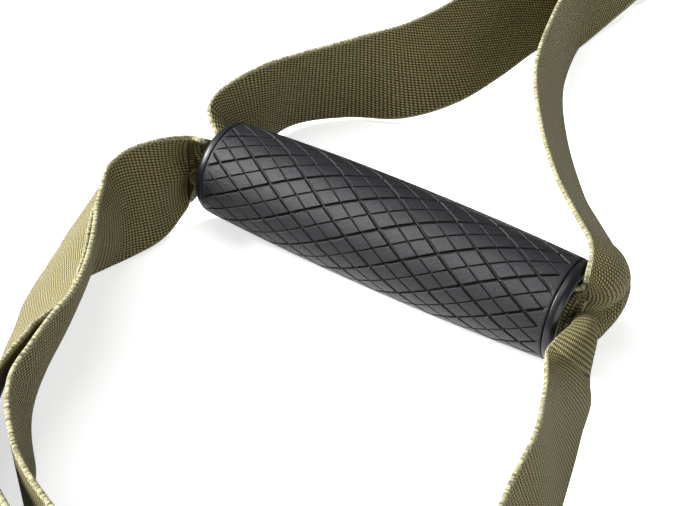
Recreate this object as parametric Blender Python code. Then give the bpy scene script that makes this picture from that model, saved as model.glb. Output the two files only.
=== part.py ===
"""Suspension trainer laid out on a table. Side 1 is the photographed handle, side 2 is its mirror image.

Metres, +Z up, the table at z = 0, both grips along X, the straps running towards +Y to the carabiner.
The origin is the middle of the bottom of the whole object's box.
"""

import math

import bmesh
import bpy
import numpy as np
from mathutils import Matrix

# Webbing
WEB_WIDTH = 0.038
WEB_THICKNESS = 0.0019
LAYER_GAP = 0.0005
CLEARANCE = 0.0003
SIDE_PLAY = 0.0012
SAMPLE_PITCH = 0.0145  # a route gets about one cross-section for each of these
TABLE_GAP = 0.0003
STANDING_HEIGHT = WEB_WIDTH / 2 + TABLE_GAP

# Grip
SLEEVE_LENGTH = 0.1345
SLEEVE_END_RADIUS = 0.0175
SLEEVE_MIDDLE_RADIUS = 0.0193
SLEEVE_EDGE_ROUND = 0.0004
AXIS_HEIGHT = SLEEVE_MIDDLE_RADIUS + TABLE_GAP
PLAIN_BAND = 0.00175
PATTERN_LENGTH = SLEEVE_LENGTH - 2 * PLAIN_BAND
LINES_PER_FAMILY = 18
ROW_PITCH = 0.00555
FIRST_TIP_ANGLE = math.radians(15.3)
WIDE_GROOVE_HALF = 0.00062
THIN_GROOVE_HALF = 0.00036
WIDE_GROOVE_DEPTH = 0.0009
THIN_GROOVE_DEPTH = 0.00055
GROOVE_TIP_REACH = 0.0007
CORE_OUTER_RADIUS = 0.0152
CORE_WALL = 0.002
CORE_SIDES = 20
CAP_SPIGOT_WALL = 0.001
CAP_SPIGOT_LENGTH = 0.009
CAP_OVERHANG = 0.0038
CAP_EDGE_STEP = 0.0001
CAP_RADIUS = SLEEVE_END_RADIUS - CAP_EDGE_STEP
CAP_MOUTH_INSET = 0.0023
CAP_MOUTH_RADIUS = CAP_RADIUS - CAP_MOUTH_INSET
CAP_SPIGOT_RADIUS = CORE_OUTER_RADIUS - CORE_WALL - CLEARANCE
CAP_BORE_RADIUS = CAP_SPIGOT_RADIUS - CAP_SPIGOT_WALL
CAP_SHOULDER_SHARE = 0.7
CAP_THROAT_SHARE = 0.5
CAP_SIDES = 20

# Curl of the webbing in the bore
HAND_CURL_GAP = 0.00073
HAND_CURL_RADIUS = CAP_BORE_RADIUS - WEB_THICKNESS / 2 - HAND_CURL_GAP
FOOT_CURL_GAP = 0.0004
FOOT_CURL_RADIUS = HAND_CURL_RADIUS - WEB_THICKNESS - FOOT_CURL_GAP
FOOT_BACK_SHIFT = 0.001
STRAP_ACROSS = 3

# The two sides
MIRROR_X = -0.175
STRAP_X = -0.025
FOOT_REACH = 0.171

# Ring link, lying flat
RING_WIRE_RADIUS = 0.0025
RING_INNER_WIDTH = WEB_WIDTH + 2 * SIDE_PLAY
RING_INNER_LENGTH = 0.014
RING_CORNER_RADIUS = 0.004
RING_NEAR_Y = 0.258
RING_Z = TABLE_GAP + WEB_THICKNESS + CLEARANCE + RING_WIRE_RADIUS
RING_TURN = RING_WIRE_RADIUS + CLEARANCE + WEB_THICKNESS / 2
RING_PITCH_Y = RING_INNER_LENGTH + 2 * RING_WIRE_RADIUS
WRAP_LEAD = 0.008
WIRE_SIDES = 8
CORNER_STEPS = 3
WRAP_STEPS = 6

# Cam buckle, lying flat
BUCKLE_RUN = 0.08
BUCKLE_BAR_Y = RING_NEAR_Y + BUCKLE_RUN
BUCKLE_BAR_LENGTH = 0.0042
BAR_WRAP_INSET = 0.0004
BAR_RETURN = 0.022
BUCKLE_PLATE_THICKNESS = 0.0024
BUCKLE_PLATE_LENGTH = 0.048
BUCKLE_SLOT_LENGTH = 0.0058
BUCKLE_SLOT_WIDTH = WEB_WIDTH + 2 * SIDE_PLAY
BUCKLE_RIM = 0.00305
BUCKLE_PLATE_WIDTH = BUCKLE_SLOT_WIDTH + 2 * BUCKLE_RIM
BUCKLE_CORNER = 0.004
BAR_TURN = BUCKLE_PLATE_THICKNESS / 2 + CLEARANCE + WEB_THICKNESS / 2
BAR_Z = TABLE_GAP + WEB_THICKNESS / 2 + BAR_TURN
CHANNEL_GAP = 0.00055
CHANNEL_HEIGHT = BAR_Z + BUCKLE_PLATE_THICKNESS / 2 + CHANNEL_GAP + WEB_THICKNESS / 2
CHANNEL_CLIMB = 0.013
CAM_RADIUS = 0.0062
CAM_REACH_SHARE = 1.13
CAM_STRAP_GAP = 0.00055
PIN_RADIUS = 0.0019
PIN_HOLE_RADIUS = PIN_RADIUS + CLEARANCE
PIN_HEAD_RIM = 0.0015
PIN_HEAD_RADIUS = PIN_RADIUS + PIN_HEAD_RIM
PIN_HEAD_THICKNESS = 0.0012
PIN_HEAD_EDGE_SHARE = 0.75
PIN_SIDES = 10
PIN_Z = CHANNEL_HEIGHT + WEB_THICKNESS / 2 + CAM_STRAP_GAP + CAM_REACH_SHARE * CAM_RADIUS
CHEEK_THICKNESS = 0.0026
CHEEK_INNER_HALF = WEB_WIDTH / 2 + SIDE_PLAY
CHEEK_RIM = 0.0019
CHEEK_LENGTH = 0.023
CHEEK_START = 0.015
CHEEK_CORNER = 0.005
PIN_OFFSET = 0.001
PIN_Y = BUCKLE_BAR_Y + CHEEK_START + CHEEK_LENGTH / 2 + PIN_OFFSET
CAM_SIDE_GAP = 0.0004
SPRING_ROOM = 0.005
SPRING_WIRE_RADIUS = 0.0004
SPRING_PLAY = 0.0011
SPRING_RADIUS = PIN_RADIUS + SPRING_PLAY + SPRING_WIRE_RADIUS
SPRING_TURNS = 3
SPRING_STEPS = 8
SPRING_END_ROOM = CLEARANCE + SPRING_WIRE_RADIUS
SPRING_PITCH = (SPRING_ROOM - 2 * SPRING_END_ROOM) / SPRING_TURNS
SPRING_LEG = 0.006

# Folded hank
HANK_SPACE = 0.022
HANK_START_Y = BUCKLE_BAR_Y + BUCKLE_PLATE_LENGTH + HANK_SPACE
HANK_LENGTH = 0.104
HANK_LAYERS = 7
HANK_GAP = 0.0007
HANK_PITCH = WEB_THICKNESS + HANK_GAP
HANK_LEAD = 0.012
HANK_EXIT = 0.006
FOLD_STEPS = 4
TIE_THICKNESS = 0.0012
TIE_WIDTH = 0.024
TIE_CORNER = 0.0025
HANK_BASE = TIE_THICKNESS + CLEARANCE + WEB_THICKNESS / 2

# Anchor loop and carabiner
TAIL_RUN = 0.148
SEWN_START_Y = HANK_START_Y + HANK_LENGTH + TAIL_RUN
SEWN_LENGTH = 0.045
SEWN_PITCH = WEB_THICKNESS + LAYER_GAP
SEWN_MARGIN = 0.006
ANCHOR_LEAD = 0.012
ANCHOR_TWIST_START = 0.020
ANCHOR_TWIST_END = 0.042
ANCHOR_RUN = 0.071
FOLDED_WIDTH_SHARE = 0.42
FOLDED_THICKNESS_SHARE = 2.1
FOLDED_THICKNESS = FOLDED_THICKNESS_SHARE * WEB_THICKNESS
CARABINER_Y = SEWN_START_Y + SEWN_LENGTH + ANCHOR_RUN
CARABINER_BAR_RADIUS = 0.005
CARABINER_NEAR_RADIUS = 0.0165
CARABINER_FAR_RADIUS = 0.022
CARABINER_SPAN = 0.056
CARABINER_SIDES = 10
LOOP_PLAY = 0.0017
LOOP_TURN_RADIUS = FOLDED_THICKNESS / 2 + CARABINER_BAR_RADIUS + LOOP_PLAY
LOOP_TURN_OFFSET = 0.005
LOOP_Z = TABLE_GAP + FOLDED_THICKNESS / 2 + LOOP_TURN_RADIUS
CARABINER_Z = TABLE_GAP + FOLDED_THICKNESS + CLEARANCE + CARABINER_BAR_RADIUS
CARABINER_REACH = CARABINER_NEAR_RADIUS + CARABINER_SPAN + CARABINER_FAR_RADIUS
CARABINER_TILT = math.asin((CARABINER_Z - CARABINER_BAR_RADIUS) / CARABINER_REACH)
GATE_RADIUS = 0.0045
GATE_START = 0.006
NOSE_LENGTH = 0.0036
GATE_END_GAP = 0.0006
GATE_HINGE_GAP = 0.0013
GATE_RUNG_SHARES = ((0.0, 0.58), (0.03, 0.87), (0.07, 1.0), (0.5, 1.0), (0.98, 1.0), (1.0, 0.9))
NEAR_BEND_STEPS = 8
FAR_BEND_STEPS = 10
TONGUE_THICKNESS = 0.0036
TONGUE_WIDTH = 0.0066
TONGUE_REACH = 0.0085
TONGUE_RELIEF = 0.0013
GATE_PIN_LENGTH_SHARE = 0.97
GATE_PIN_RADIUS = 0.0013
GATE_PIN_HOLE = GATE_PIN_RADIUS + CLEARANCE

# What the route tables below call the grip's end, its axis, a standing strap's middle, the backs of the
# curls, the ring's near bar and the foot strap's far stretch
GRIP_END_SHARE = 0.6725
AXIS_SHARE = 0.195
STANDING_SHARE = 0.193
HAND_BACK_SHARE = 0.102
FOOT_BACK_SHARE = -0.089
RING_SHARE = 2.58
FOOT_REACH_SHARE = 1.71

# Route stations: x, y, z, then the direction of the webbing's upper edge, then the share of the bore's curl.
HAND_RIGHT_SHARES = (
    (-0.56, 0.102, 0.195, 0, 0, 1, 1.0),
    (0.10, 0.102, 0.195, 0, 0, 1, 1.0),
    (0.56, 0.102, 0.195, 0, 0, 1, 1.0),
    (0.67, 0.104, 0.195, 0, 0, 1, 0.98),
    (0.735, 0.122, 0.195, 0, 0, 1, 0.72),
    (0.775, 0.165, 0.194, -0.02, 0, 1, 0.38),
    (0.765, 0.225, 0.193, -0.15, -0.05, 0.97, 0.14),
    (0.68, 0.315, 0.193, -0.46, -0.26, 0.85, 0),
    (0.52, 0.49, 0.193, -0.48, -0.38, 0.79, 0),
    (0.31, 0.73, 0.190, -0.49, -0.38, 0.79, 0),
    (0.07, 1.07, 0.190, -0.38, -0.22, 0.90, 0),
    (-0.06, 1.37, 0.193, -0.17, -0.05, 0.98, 0),
    (-0.15, 1.74, 0.193, -0.10, -0.02, 0.99, 0),
    (-0.20, 2.00, 0.182, -0.57, 0, 0.82, 0),
    (-0.23, 2.26, 0.140, -0.91, 0, 0.42, 0),
)
HAND_LEFT_SHARES = (
    (-0.28, 2.26, 0.082, -0.94, 0, 0.34, 0),
    (-0.30, 2.00, 0.160, -0.72, 0, 0.70, 0),
    (-0.30, 1.78, 0.185, -0.44, 0.06, 0.90, 0),
    (-0.33, 1.57, 0.193, -0.54, 0.08, 0.84, 0),
    (-0.355, 1.34, 0.196, -0.65, 0.06, 0.76, 0),
    (-0.375, 1.10, 0.205, -0.63, 0.11, 0.77, 0),
    (-0.44, 0.85, 0.222, -0.46, 0.27, 0.85, 0),
    (-0.62, 0.67, 0.222, 0.10, -0.11, 0.99, 0),
    (-0.76, 0.50, 0.215, 0.15, -0.09, 0.98, 0),
    (-0.81, 0.335, 0.202, 0, 0, 1, 0.06),
    (-0.785, 0.21, 0.195, -0.14, -0.05, 0.98, 0.3),
    (-0.735, 0.135, 0.195, -0.04, 0, 1, 0.68),
    (-0.67, 0.106, 0.195, 0, 0, 1, 0.97),
)
FOOT_SHARES = (
    (-0.55, -0.089, 0.195, 0, 0, 1, 1.0),
    (-0.66, -0.089, 0.195, 0, 0, 1, 1.0),
    (-0.715, -0.092, 0.195, 0, 0, 1, 0.98),
    (-0.755, -0.120, 0.195, 0, 0, 1, 0.85),
    (-0.775, -0.175, 0.199, 0.08, -0.03, 1, 0.50),
    (-0.79, -0.26, 0.205, -0.06, 0, 1, 0.18),
    (-0.812, -0.38, 0.210, -0.20, 0.03, 0.98, 0),
    (-0.815, -0.53, 0.212, 0.02, 0, 1, 0),
    (-0.765, -0.70, 0.212, 0.24, 0.11, 0.96, 0),
    (-0.665, -0.88, 0.210, 0.36, 0.18, 0.91, 0),
    (-0.55, -1.11, 0.203, 0.28, 0.14, 0.95, 0),
    (-0.43, -1.31, 0.196, 0.08, 0.06, 1, 0),
    (-0.23, -1.48, 0.193, 0, 0, 1, 0),
    (0.05, -1.62, 0.193, 0, 0, 1, 0),
    (0.38, -1.71, 0.193, 0, 0, 1, 0),
    (0.74, -1.69, 0.193, 0, 0, 1, 0),
    (0.98, -1.51, 0.193, -0.12, 0.06, 0.99, 0),
    (1.05, -1.25, 0.193, -0.30, 0, 0.95, 0),
    (1.01, -0.97, 0.190, -0.40, -0.02, 0.92, 0),
    (0.985, -0.82, 0.193, -0.33, -0.05, 0.94, 0),
    (0.945, -0.67, 0.195, -0.25, -0.07, 0.97, 0),
    (0.90, -0.53, 0.195, -0.21, -0.07, 0.97, 0),
    (0.86, -0.42, 0.193, -0.24, -0.08, 0.97, 0),
    (0.835, -0.30, 0.193, -0.26, -0.06, 0.96, 0),
    (0.815, -0.22, 0.195, -0.16, -0.03, 0.98, 0.18),
    (0.795, -0.155, 0.195, -0.05, 0, 1, 0.52),
    (0.765, -0.112, 0.195, 0, 0, 1, 0.85),
    (0.715, -0.092, 0.195, 0, 0, 1, 0.98),
    (0.66, -0.089, 0.195, 0, 0, 1, 1.0),
    (0.55, -0.089, 0.195, 0, 0, 1, 1.0),
)
HEEL_SHARES = (
    (-0.852, -0.42, 0.210, -0.14, 0.03, 0.99, 0),
    (-0.874, -0.52, 0.207, 0.10, 0.03, 0.99, 0),
    (-0.888, -0.62, 0.198, 0.34, 0.13, 0.93, 0),
    (-0.845, -0.76, 0.184, 0.50, 0.24, 0.83, 0),
    (-0.748, -0.95, 0.176, 0.54, 0.28, 0.79, 0),
    (-0.645, -1.16, 0.180, 0.43, 0.22, 0.87, 0),
    (-0.52, -1.37, 0.190, 0.18, 0.12, 0.98, 0),
    (-0.30, -1.555, 0.193, 0, 0, 1, 0),
    (0.02, -1.70, 0.193, 0, 0, 1, 0),
    (0.38, -1.79, 0.193, 0, 0, 1, 0),
    (0.79, -1.765, 0.193, 0, 0, 1, 0),
    (1.06, -1.55, 0.193, -0.12, 0.06, 0.99, 0),
    (1.125, -1.26, 0.193, -0.30, 0, 0.95, 0),
    (1.060, -1.05, 0.190, -0.38, -0.02, 0.92, 0),
)
# From the hank to the sewn zone: x from the mirror plane to the hank, y along the run, z of a standing strap
TAIL_SHARES = (
    (1.0, 0.25, 0.96, -0.80, 0, 0.60, 0),
    (0.98, 0.46, 1.0, -0.22, 0, 0.98, 0),
    (0.83, 0.61, 1.0, 0, 0, 1, 0),
    (0.57, 0.70, 1.0, 0, 0, 1, 0),
    (0.27, 0.745, 1.0, 0, 0, 1, 0),
    (0.10, 0.81, 1.0, 0, 0, 1, 0),
    (0.033, 0.885, 1.0, 0, 0, 1, 0),
    (0.012, 0.95, 1.0, 0, 0, 1, 0),
)
# From the buckle's slot up to its channel: shares of the climb's run and of its height
CLIMB_SHARES = ((0.0, 0.0), (0.3, 0.25), (0.7, 0.75), (1.0, 1.0))
# Cam lever seen from the side, as shares of the cam's radius round its pin
CAM_OUTLINE_SHARES = (
    (-0.10, -1.13), (0.12, -0.98), (0.30, -1.08), (0.48, -0.90), (0.66, -0.93), (0.80, -0.70),
    (0.97, -0.30), (1.00, 0.05), (1.30, 0.30), (2.60, 0.52), (3.90, 1.10), (4.15, 1.45),
    (3.95, 1.58), (2.50, 1.02), (1.10, 0.82), (0.60, 0.92), (0.0, 1.04), (-0.55, 0.86),
    (-0.92, 0.45), (-0.98, -0.05), (-0.86, -0.52), (-0.52, -0.92), (-0.30, -1.10), (-0.20, -0.96),
)

COLOURS = {
    "webbing": ((0.155, 0.135, 0.062, 1), 0.85, 0.0),
    "rubber": ((0.018, 0.019, 0.022, 1), 0.6, 0.0),
    "plastic": ((0.012, 0.012, 0.013, 1), 0.4, 0.0),
    "core": ((0.05, 0.05, 0.05, 1), 0.5, 0.0),
    "steel": ((0.55, 0.55, 0.56, 1), 0.3, 1.0),
    "dark_steel": ((0.05, 0.05, 0.055, 1), 0.4, 1.0),
    "elastic": ((0.02, 0.02, 0.02, 1), 0.9, 0.0),
}


def clear_scene():
    for obj in list(bpy.data.objects):
        bpy.data.objects.remove(obj, do_unlink=True)


def material_for(name, kind):
    colour, roughness, metallic = COLOURS[kind]
    material = bpy.data.materials.new(name + "_material")
    material.use_nodes = True
    shader = material.node_tree.nodes["Principled BSDF"]
    shader.inputs["Base Color"].default_value = colour
    shader.inputs["Roughness"].default_value = roughness
    shader.inputs["Metallic"].default_value = metallic
    material.diffuse_color = colour
    return material


def mirrored(points, side):
    points = np.array(points, float)
    if side == 2:
        points[:, 0] = 2 * MIRROR_X - points[:, 0]
    return points


def add_object(name, points, faces, kind, origin=(0, 0, 0), side=1, smooth=True):
    """One node. The points and the origin are in the frame of side 1, and side 2 mirrors both."""
    points = mirrored(points, side)
    origin = mirrored([origin], side)[0]
    mesh = bpy.data.meshes.new(name)
    mesh.from_pydata((points - origin).tolist(), [], [tuple(face) for face in faces])
    work = bmesh.new()
    work.from_mesh(mesh)
    bmesh.ops.recalc_face_normals(work, faces=work.faces)
    work.to_mesh(mesh)
    work.free()
    if smooth:
        mesh.polygons.foreach_set("use_smooth", [True] * len(mesh.polygons))
    obj = bpy.data.objects.new(name, mesh)
    obj.location = origin.tolist()
    bpy.context.scene.collection.objects.link(obj)
    mesh.materials.append(material_for(name, kind))
    return obj


def add_cutter(name, points, faces, side):
    cutter = add_object(name, points, faces, "steel", side=side)
    cutter.hide_render = True
    cutter.display_type = "WIRE"
    return cutter


def boolean(obj, other, operation):
    modifier = obj.modifiers.new(operation.lower(), "BOOLEAN")
    modifier.operation = operation
    modifier.solver = "EXACT"
    modifier.object = other


def loft(rings, closed=False, skin=None):
    """Points and faces of a tube through rings that all hold the same number of points.

    A ribbon's quads are cut in two. Those of its two skins, each that many sides of a ring, are cut
    along the same diagonal, so that a twist doesn't press one skin through the other.
    """
    count = len(rings[0])
    points = np.concatenate([np.asarray(ring, float) for ring in rings])
    faces = []
    steps = len(rings) if closed else len(rings) - 1
    for i in range(steps):
        a = i * count
        b = (i + 1) % len(rings) * count
        for j in range(count):
            k = (j + 1) % count
            if skin is None:
                faces.append((a + j, a + k, b + k, b + j))
            elif j <= skin:
                faces += [(a + j, a + k, b + k), (a + j, b + k, b + j)]
            else:
                faces += [(a + j, a + k, b + j), (a + k, b + k, b + j)]
    if not closed:
        last = (len(rings) - 1) * count
        faces.append(tuple(reversed(range(count))))
        faces.append(tuple(range(last, last + count)))
    return points, faces


def unit(vectors):
    vectors = np.asarray(vectors, float)
    return vectors / np.linalg.norm(vectors, axis=-1, keepdims=True)


def tangents(points, closed=False):
    if closed:
        return unit(np.roll(points, -1, axis=0) - np.roll(points, 1, axis=0))
    return unit(np.gradient(points, axis=0))


def flow(stations, closed=False, steps=None):
    """A Catmull-Rom curve through the stations, all seven columns alike. A span in the bore is one step."""
    stations = np.array(stations, float)
    count = len(stations)
    spans = count if closed else count - 1
    samples = []
    for i in range(spans):
        if closed:
            p0, p1, p2, p3 = (stations[(i + j) % count] for j in (-1, 0, 1, 2))
        else:
            p1 = stations[i]
            p2 = stations[i + 1]
            p0 = stations[i - 1] if i else 2 * p1 - p2
            p3 = stations[i + 2] if i + 2 < count else 2 * p2 - p1
        chord = np.linalg.norm(p2[:3] - p1[:3])
        in_bore = min(p1[6], p2[6]) >= 1
        pieces = steps or (1 if in_bore else max(1, round(chord / SAMPLE_PITCH)))
        # Roots of the chords keep the curve from looping where short spans meet long ones.
        d01, d12, d23 = (np.sqrt(np.linalg.norm(b[:3] - a[:3])) for a, b in ((p0, p1), (p1, p2), (p2, p3)))
        m1 = (p1 - p0) / d01 - (p2 - p0) / (d01 + d12) + (p2 - p1) / d12
        m2 = (p2 - p1) / d12 - (p3 - p1) / (d12 + d23) + (p3 - p2) / d23
        m1 *= d12
        m2 *= d12
        for step in range(pieces):
            t = step / pieces
            h1 = 2 * t**3 - 3 * t**2 + 1
            h2 = t**3 - 2 * t**2 + t
            h3 = -2 * t**3 + 3 * t**2
            h4 = t**3 - t**2
            samples.append(h1 * p1 + h2 * m1 + h3 * p2 + h4 * m2)
    if not closed:
        samples.append(stations[-1])
    return np.array(samples)


def ribbon(samples, full_curl=0.0, across=1, closed=False, width=None, thickness=None):
    """Webbing along the samples. A curl bends its width into an arc that keeps its length."""
    points = samples[:, :3]
    along = tangents(points, closed)
    upper = samples[:, 3:6]
    upper = unit(upper - (upper * along).sum(axis=1, keepdims=True) * along)
    normal = np.cross(along, upper)
    count = len(samples)
    width = np.full(count, WEB_WIDTH) if width is None else width
    thickness = np.full(count, WEB_THICKNESS) if thickness is None else thickness
    rings = []
    for i in range(count):
        curl = full_curl * min(max(samples[i, 6], 0), 1)
        faces_of = ([], [])
        for m in range(across + 1):
            share = m / across - 0.5
            angle = share * curl
            if abs(curl) > math.radians(1):
                radius = width[i] / curl
                middle = radius * math.sin(angle) * upper[i] + radius * (1 - math.cos(angle)) * normal[i]
            else:
                middle = share * width[i] * upper[i]
            skin = math.cos(angle) * normal[i] - math.sin(angle) * upper[i]
            for side, sign in enumerate((1, -1)):
                faces_of[side].append(points[i] + middle + sign * skin * thickness[i] / 2)
        rings.append(faces_of[0] + faces_of[1][::-1])
    return loft(rings, closed, across)


def route(shares, unit_y, back, back_share):
    """Stations of a route table. Its x follows the grip, its y the given unit and its z the webbing's width.

    Curled stations keep the curl's back and the axis where the bore has them.
    """
    stations = np.array(shares, float)
    curl = stations[:, 6]
    standing = STANDING_HEIGHT / STANDING_SHARE
    stations[:, 0] *= SLEEVE_LENGTH / 2 / GRIP_END_SHARE
    stations[:, 1] = stations[:, 1] * unit_y + curl * (back - back_share * unit_y)
    stations[:, 2] = stations[:, 2] * standing + curl * (AXIS_HEIGHT - AXIS_SHARE * standing)
    return [tuple(station) for station in stations]


def flat_station(y, z, x=STRAP_X):
    """A station of webbing that lies flat, its upper edge turned to -X."""
    return (x, y, z, -1, 0, 0, 0)


def turn(y, z, radius, start, end, steps, x=STRAP_X):
    """Stations round a bar along X, by angles from +Y towards +Z."""
    angles = np.linspace(math.radians(start), math.radians(end), steps + 1)
    return [flat_station(y + radius * math.cos(a), z + radius * math.sin(a), x) for a in angles]


def sleeve_radius(x):
    share = abs(x) / (SLEEVE_LENGTH / 2)
    return SLEEVE_MIDDLE_RADIUS - (SLEEVE_MIDDLE_RADIUS - SLEEVE_END_RADIUS) * share**2


def build_sleeve(side):
    """The grip's rubber: two families of helical grooves whose lines are alternately wide and thin.

    Groove lines are i = const and j = const. Row j - i counts from the right end, i + j goes round.
    """
    points = []
    faces = []
    half_step = math.pi / LINES_PER_FAMILY
    last_row = PATTERN_LENGTH / ROW_PITCH
    full_rows = int(last_row)
    around = 2 * LINES_PER_FAMILY
    half_step_length = half_step * SLEEVE_MIDDLE_RADIUS
    spacing = 2 * ROW_PITCH * half_step_length / math.hypot(ROW_PITCH, half_step_length)
    index = {}

    def spot(i, j, depth=0.0, reach=0.0):
        row = j - i
        x = PATTERN_LENGTH / 2 - row * ROW_PITCH + reach
        angle = FIRST_TIP_ANGLE + (i + j) * half_step
        radius = sleeve_radius(x) - depth
        return (x, -radius * math.cos(angle), AXIS_HEIGHT + radius * math.sin(angle))

    def vertex(key, place):
        """The same key gives the same vertex, also once round the grip."""
        if key not in index:
            index[key] = len(points)
            points.append(place)
        return index[key]

    def wide_i(i):
        return i % 2 == 0

    def wide_j(j):
        return j % 2 == 1

    def inset(wide):
        return (WIDE_GROOVE_HALF if wide else THIN_GROOVE_HALF) / spacing

    def depth_at(i, j):
        return WIDE_GROOVE_DEPTH if wide_i(i) or wide_j(j) else THIN_GROOVE_DEPTH

    def node(i, j):
        """Where two groove lines cross."""
        return vertex(("node", j - i, (i + j) % around), spot(i, j, depth_at(i, j)))

    def corner(i, j, di, dj):
        """The cell corner beside node (i, j), in the cell on its di, dj side."""
        key = ("corner", j - i, (i + j) % around, di, dj)
        return vertex(key, spot(i + di * inset(wide_i(i)), j + dj * inset(wide_j(j))))

    def end_node(i, j, along_i):
        """Where a groove ends at the left, short of its next crossing. It runs on in i or in j."""
        left = last_row - full_rows
        key = ("end", (i + j) % around, along_i)
        place = (i - left, j) if along_i else (i, j + left)
        wide = wide_j(j) if along_i else wide_i(i)
        return vertex(key, spot(*place, WIDE_GROOVE_DEPTH if wide else THIN_GROOVE_DEPTH))

    def end_corner(i, j, along_i, away):
        left = last_row - full_rows
        key = ("end corner", (i + j) % around, along_i, away)
        if along_i:
            place = (i - left, j + away * inset(wide_j(j)))
        else:
            place = (i + away * inset(wide_i(i)), j + left)
        return vertex(key, spot(*place))

    def end_tip(i, j, along_i):
        left = last_row - full_rows
        place = (i - left, j) if along_i else (i, j + left)
        return vertex(("end tip", (i + j) % around, along_i), spot(*place, 0.0, -GROOVE_TIP_REACH))

    def right_tip(i, j):
        return vertex(("tip", (i + j) % around), spot(i, j, 0.0, GROOVE_TIP_REACH))

    def right_middle(i, j):
        """Between two tips of the right end, (i, j) being the node of row 1 beside it."""
        return vertex(("tip", (i + j) % around), spot(i + 0.5, j - 0.5, 0.0, GROOVE_TIP_REACH))

    for a in range(0, around, 2):
        # Row 0, the right end: lines meet in tips
        i = j = a // 2
        up = (i, j + 1)
        top = corner(up[0], up[1], 1, -1)
        near = corner(i, j, 1, 1)
        far = corner(i + 1, j + 1, -1, -1)
        faces.append([right_tip(i, j), right_middle(*up), right_tip(i + 1, j + 1), far, top, near])
        faces.append([node(i, j), near, top, node(*up)])
        faces.append([node(*up), top, far, node(i + 1, j + 1)])
        faces.append([right_tip(i, j), near, node(i, j)])
        faces.append([right_tip(i, j), node(i, j), corner(i, j, -1, -1)])
    for row in range(0, full_rows - 1):
        for a in range(row % 2, around, 2):
            # The cell whose right corner is node (i, j)
            i = (a - row) // 2
            j = (a + row) // 2
            nodes = (node(i, j), node(i, j + 1), node(i - 1, j + 1), node(i - 1, j))
            tops = (
                corner(i, j, -1, 1),
                corner(i, j + 1, -1, -1),
                corner(i - 1, j + 1, 1, -1),
                corner(i - 1, j, 1, 1),
            )
            faces.append(list(tops))
            for k in range(4):
                n = (k + 1) % 4
                faces.append([nodes[k], nodes[n], tops[n], tops[k]])
    row = full_rows
    for a in range(row % 2, around, 2):
        # The left end: lines stop a part of a row beyond the last crossings
        i = (a - row) // 2
        j = (a + row) // 2
        e_up = end_node(i, j, False)
        e_down = end_node(i, j, True)
        mouth = corner(i, j, -1, 1)
        inner_up = end_corner(i, j, False, -1)
        inner_down = end_corner(i, j, True, 1)
        tip_up = end_tip(i, j, False)
        tip_down = end_tip(i, j, True)
        faces.append([mouth, inner_up, tip_up, tip_down, inner_down])
        faces.append([node(i, j), e_up, inner_up, mouth])
        faces.append([node(i, j), mouth, inner_down, e_down])
        faces.append([e_up, tip_up, inner_up])
        faces.append([e_down, inner_down, tip_down])
        # The cell on the upper side of this node
        outer_up = end_corner(i, j, False, 1)
        outer_down = end_corner(i + 1, j + 1, True, -1)
        low = corner(i, j, 1, 1)
        high = corner(i + 1, j + 1, -1, -1)
        right = corner(i + 1, j, -1, 1)
        next_tip = end_tip(i + 1, j + 1, True)
        faces.append([right, high, outer_down, next_tip, tip_up, outer_up, low])
        faces.append([node(i, j), low, outer_up, e_up])
        faces.append([e_up, outer_up, tip_up])
        next_end = end_node(i + 1, j + 1, True)
        faces.append([node(i + 1, j + 1), next_end, outer_down, high])
        faces.append([next_end, next_tip, outer_down])
        faces.append([node(i + 1, j), right, low, node(i, j)])
        faces.append([node(i + 1, j), node(i + 1, j + 1), high, right])

    # Plain bands, rounded edges and the bore
    right_ring = [index[("tip", a)] for a in range(around)]
    left_ring = []
    for a in range(row % 2, around, 2):
        i = (a - row) // 2
        j = (a + row) // 2
        left_ring += [index[("end tip", (i + j) % around, True)], index[("end tip", (i + j) % around, False)]]
    bore = CORE_OUTER_RADIUS + CLEARANCE
    end = SLEEVE_LENGTH / 2
    rings = []
    for ring, sign in ((right_ring, 1), (left_ring, -1)):
        before = ring
        for x, radius in (
            (end - SLEEVE_EDGE_ROUND, SLEEVE_END_RADIUS),
            (end, SLEEVE_END_RADIUS - SLEEVE_EDGE_ROUND),
            (end, bore),
        ):
            after = []
            for k in range(around):
                place = points[ring[k]]
                angle = math.atan2(place[2] - AXIS_HEIGHT, place[1])
                after.append(len(points))
                points.append((sign * x, radius * math.cos(angle), AXIS_HEIGHT + radius * math.sin(angle)))
            for k in range(around):
                n = (k + 1) % around
                faces.append([before[k], before[n], after[n], after[k]])
            before = after
        rings.append(before)
    right_bore, left_bore = rings
    # The two ends' rings are turned to each other so that the bore's faces don't twist.
    angle_of = [math.atan2(points[k][2] - AXIS_HEIGHT, points[k][1]) for k in right_bore + left_bore]
    shift = min(
        range(around),
        key=lambda s: sum(
            1 - math.cos(angle_of[k] - angle_of[around + (k + s) % around]) for k in range(around)
        ),
    )
    left_bore = left_bore[shift:] + left_bore[:shift]
    for k in range(around):
        n = (k + 1) % around
        faces.append([right_bore[k], right_bore[n], left_bore[n], left_bore[k]])
    return add_object(
        f"grip_sleeve_{side}", points, faces, "rubber", (0, 0, AXIS_HEIGHT), side, smooth=False
    )


def turned(profile, sides, centre_z):
    """A closed profile of (x, radius) turned round the grip's axis."""
    rings = []
    for step in range(sides):
        angle = 2 * math.pi * step / sides
        rings.append([(x, r * math.cos(angle), centre_z + r * math.sin(angle)) for x, r in profile])
    return loft(rings, closed=True)


def build_core(side):
    inner = CORE_OUTER_RADIUS - CORE_WALL
    end = SLEEVE_LENGTH / 2 - CLEARANCE
    profile = ((-end, inner), (-end, CORE_OUTER_RADIUS), (end, CORE_OUTER_RADIUS), (end, inner))
    points, faces = turned(profile, CORE_SIDES, AXIS_HEIGHT)
    add_object(f"core_tube_{side}", points, faces, "core", (0, 0, AXIS_HEIGHT), side)


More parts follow.
